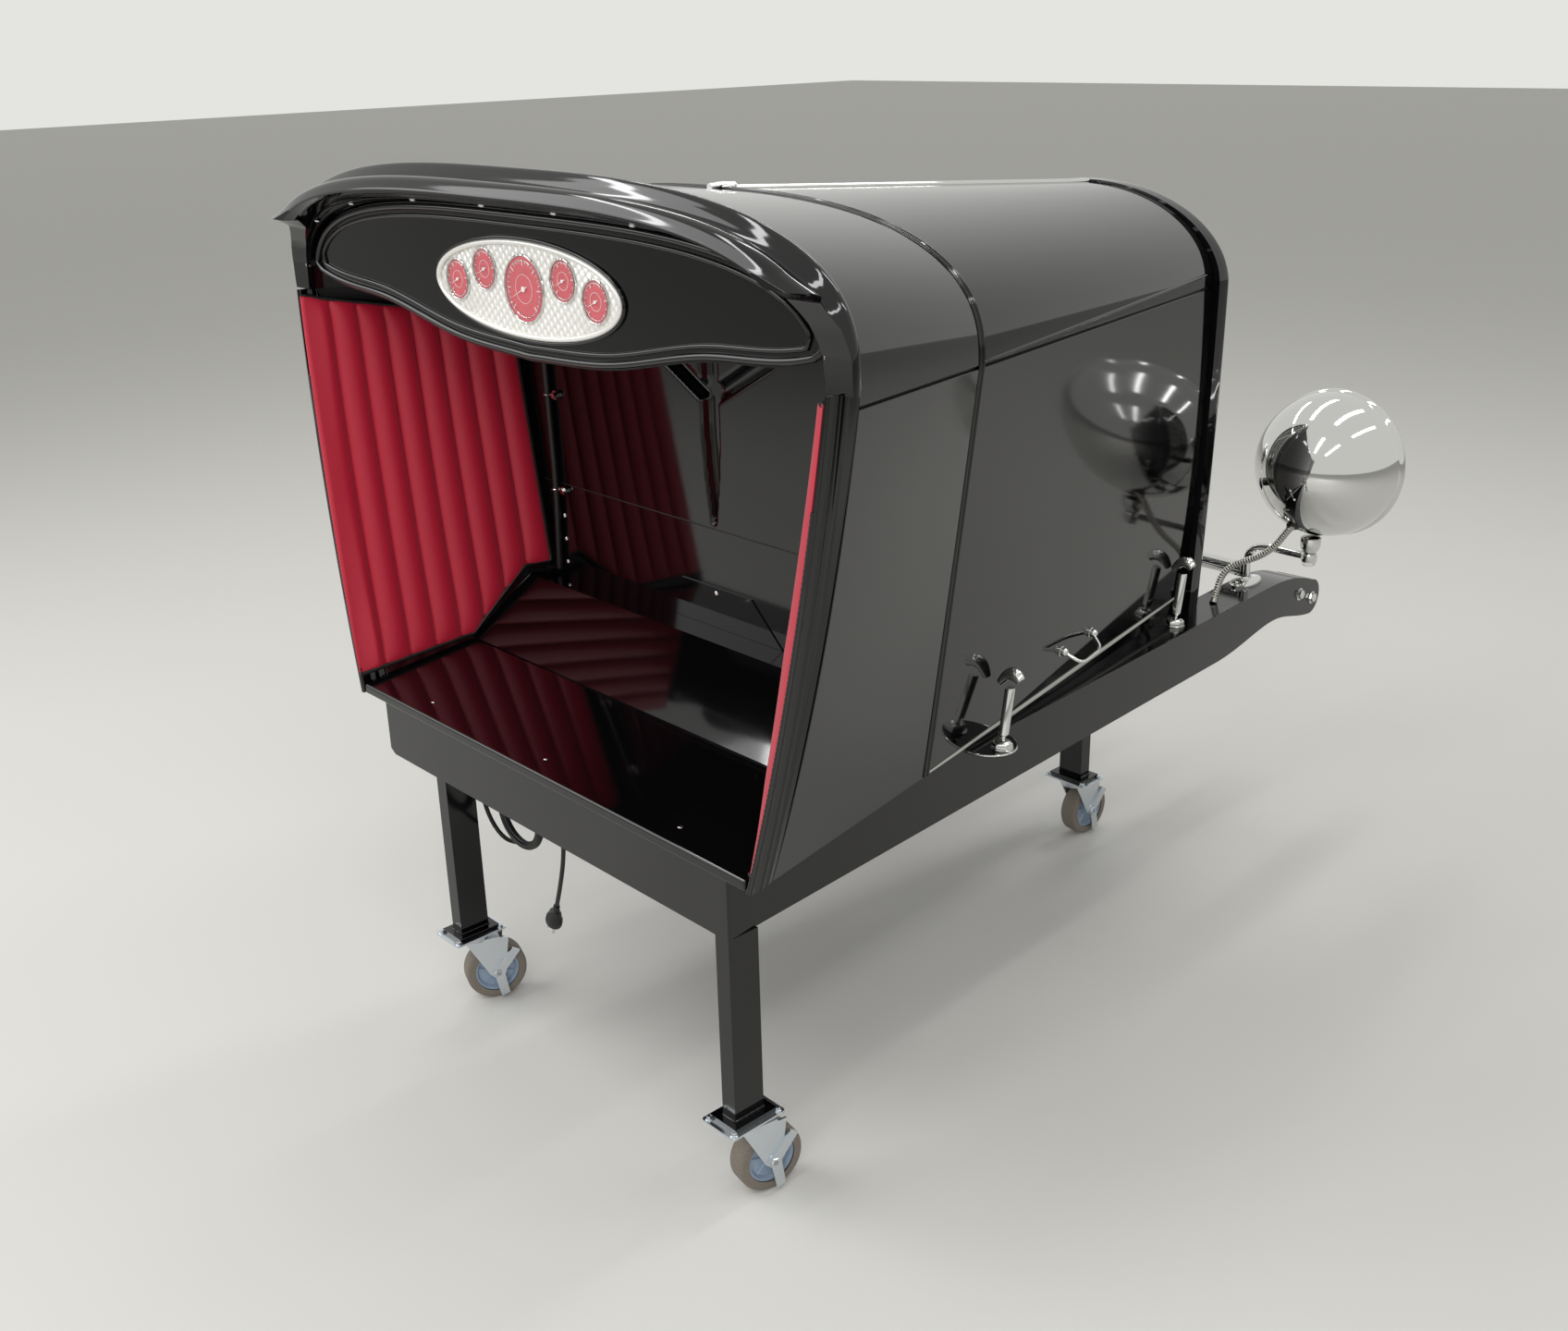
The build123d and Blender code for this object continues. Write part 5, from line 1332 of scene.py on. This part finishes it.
def dress_nodes():
    """Gives every CAD node that stays in view its finish."""
    for name, piece in frame["nodes"].items():
        maker = gloss_black
        for starts, chosen in NODE_FINISHES:
            if name.startswith(starts) and name != "grille_shell":
                maker = chosen
        for slot in piece.material_slots:
            slot.material = use(maker)


# ------------------------------------------------------------------ sidebar
class StandSizes(bpy.types.PropertyGroup):
    """Sizes and colours that a user would change."""

    crease_gap: bpy.props.FloatProperty(
        name="Crease gap", description="Open joint between the body top and its sides",
        default=0.004, min=0.001, max=0.008, unit="LENGTH")
    roll_count: bpy.props.IntProperty(
        name="Trim rolls", description="Upright rolls sewn in each side trim panel", default=8, min=4, max=14)
    coil_turns: bpy.props.IntProperty(
        name="Cord turns", description="Turns of the power cord over its hook", default=6, min=2, max=10)
    body_colour: bpy.props.FloatVectorProperty(
        name="Body colour", description="Enamel on the body panels", subtype="COLOR", size=3,
        default=linear("#060607")[:3], min=0.0, max=1.0)
    trim_colour: bpy.props.FloatVectorProperty(
        name="Trim colour", description="Vinyl of the side trim", subtype="COLOR", size=3,
        default=linear("#A5122B")[:3], min=0.0, max=1.0)


def build(*makers):
    """Runs the makers of an operator's pieces in order."""
    for make in makers:
        make()
    return {"FINISHED"}


class STAND_OT_stage(bpy.types.Operator):
    """Add the camera, lights and pale floor"""

    bl_idname = "stand.stage"
    bl_label = "Stage and camera"

    def execute(self, context):
        return build(make_camera, make_stage)


class STAND_OT_cord(bpy.types.Operator):
    """Hang the lamps' power cord with its coil and plug"""

    bl_idname = "stand.cord"
    bl_label = "Power cord"

    def execute(self, context):
        return build(make_cord, make_gland_relief)


class STAND_OT_body(bpy.types.Operator):
    """Dress the cowl, hood, lip and grille shell"""

    bl_idname = "stand.body"
    bl_label = "Body panels"

    def execute(self, context):
        return build(make_cowl_top, make_sides, make_hood_tops, make_seam_welt, make_crease_lines,
                     make_hood_highlight_strips, make_door_posts, make_lip, make_lip_screws,
                     make_grille_shell, make_hinge_clip)


class STAND_OT_dash(bpy.types.Operator):
    """Build the dash with its gauge cluster"""

    bl_idname = "stand.dash"
    bl_label = "Dash and gauges"

    def execute(self, context):
        return build(make_dash, make_gauges)


class STAND_OT_cabin(bpy.types.Operator):
    """Build the floor, side trim and the fittings on the firewall"""

    bl_idname = "stand.cabin"
    bl_label = "Cabin"

    def execute(self, context):
        return build(make_trim, make_floor, make_firewall, make_cabin_fittings, make_wiring)


class STAND_OT_lamps(bpy.types.Operator):
    """Build the headlamps, their arms and conduits"""

    bl_idname = "stand.lamps"
    bl_label = "Headlamps"

    def execute(self, context):
        return build(make_lamps, make_lamp_stands, make_lamp_conduits)


class STAND_OT_latches(bpy.types.Operator):
    """Build the hood latches and the bolts on the rails"""

    bl_idname = "stand.latches"
    bl_label = "Latches and bolts"

    def execute(self, context):
        return build(make_latches, make_rail_bolts)


class STAND_OT_casters(bpy.types.Operator):
    """Build the caster wheels, fittings and leg welds"""

    bl_idname = "stand.casters"
    bl_label = "Legs and casters"

    def execute(self, context):
        return build(make_wheels, make_caster_fittings, make_leg_welds)


class STAND_OT_finishes(bpy.types.Operator):
    """Give the plain CAD pieces their finishes"""

    bl_idname = "stand.finishes"
    bl_label = "Finishes"

    def execute(self, context):
        return build(dress_nodes)


class STAND_PT_panel(bpy.types.Panel):
    """The stand's sizes and its pieces, in the order they are made"""

    bl_label = "Display stand"
    bl_idname = "STAND_PT_panel"
    bl_space_type = "VIEW_3D"
    bl_region_type = "UI"
    bl_category = "Stand"

    def draw(self, context):
        for name in StandSizes.__annotations__:
            self.layout.prop(context.scene.stand_sizes, name)
        for operator in OPERATORS:
            self.layout.operator(operator.bl_idname)


OPERATORS = (STAND_OT_stage, STAND_OT_cord, STAND_OT_finishes, STAND_OT_body, STAND_OT_dash, STAND_OT_cabin,
             STAND_OT_lamps, STAND_OT_latches, STAND_OT_casters)


def register():
    """Registers the classes and hangs the sizes on the scene."""
    for item in (StandSizes, *OPERATORS, STAND_PT_panel):
        bpy.utils.register_class(item)
    bpy.types.Scene.stand_sizes = bpy.props.PointerProperty(type=StandSizes)


def unregister():
    """Takes the sizes and the classes away again."""
    del bpy.types.Scene.stand_sizes
    for item in reversed((StandSizes, *OPERATORS, STAND_PT_panel)):
        bpy.utils.unregister_class(item)


def main():
    """Registers the add-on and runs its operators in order."""
    register()
    bpy.ops.stand.stage()
    bpy.ops.stand.cord()
    bpy.ops.stand.finishes()
    bpy.ops.stand.body()
    bpy.ops.stand.dash()
    bpy.ops.stand.cabin()
    bpy.ops.stand.lamps()
    bpy.ops.stand.latches()
    bpy.ops.stand.casters()


if __name__ == "__main__":
    main()
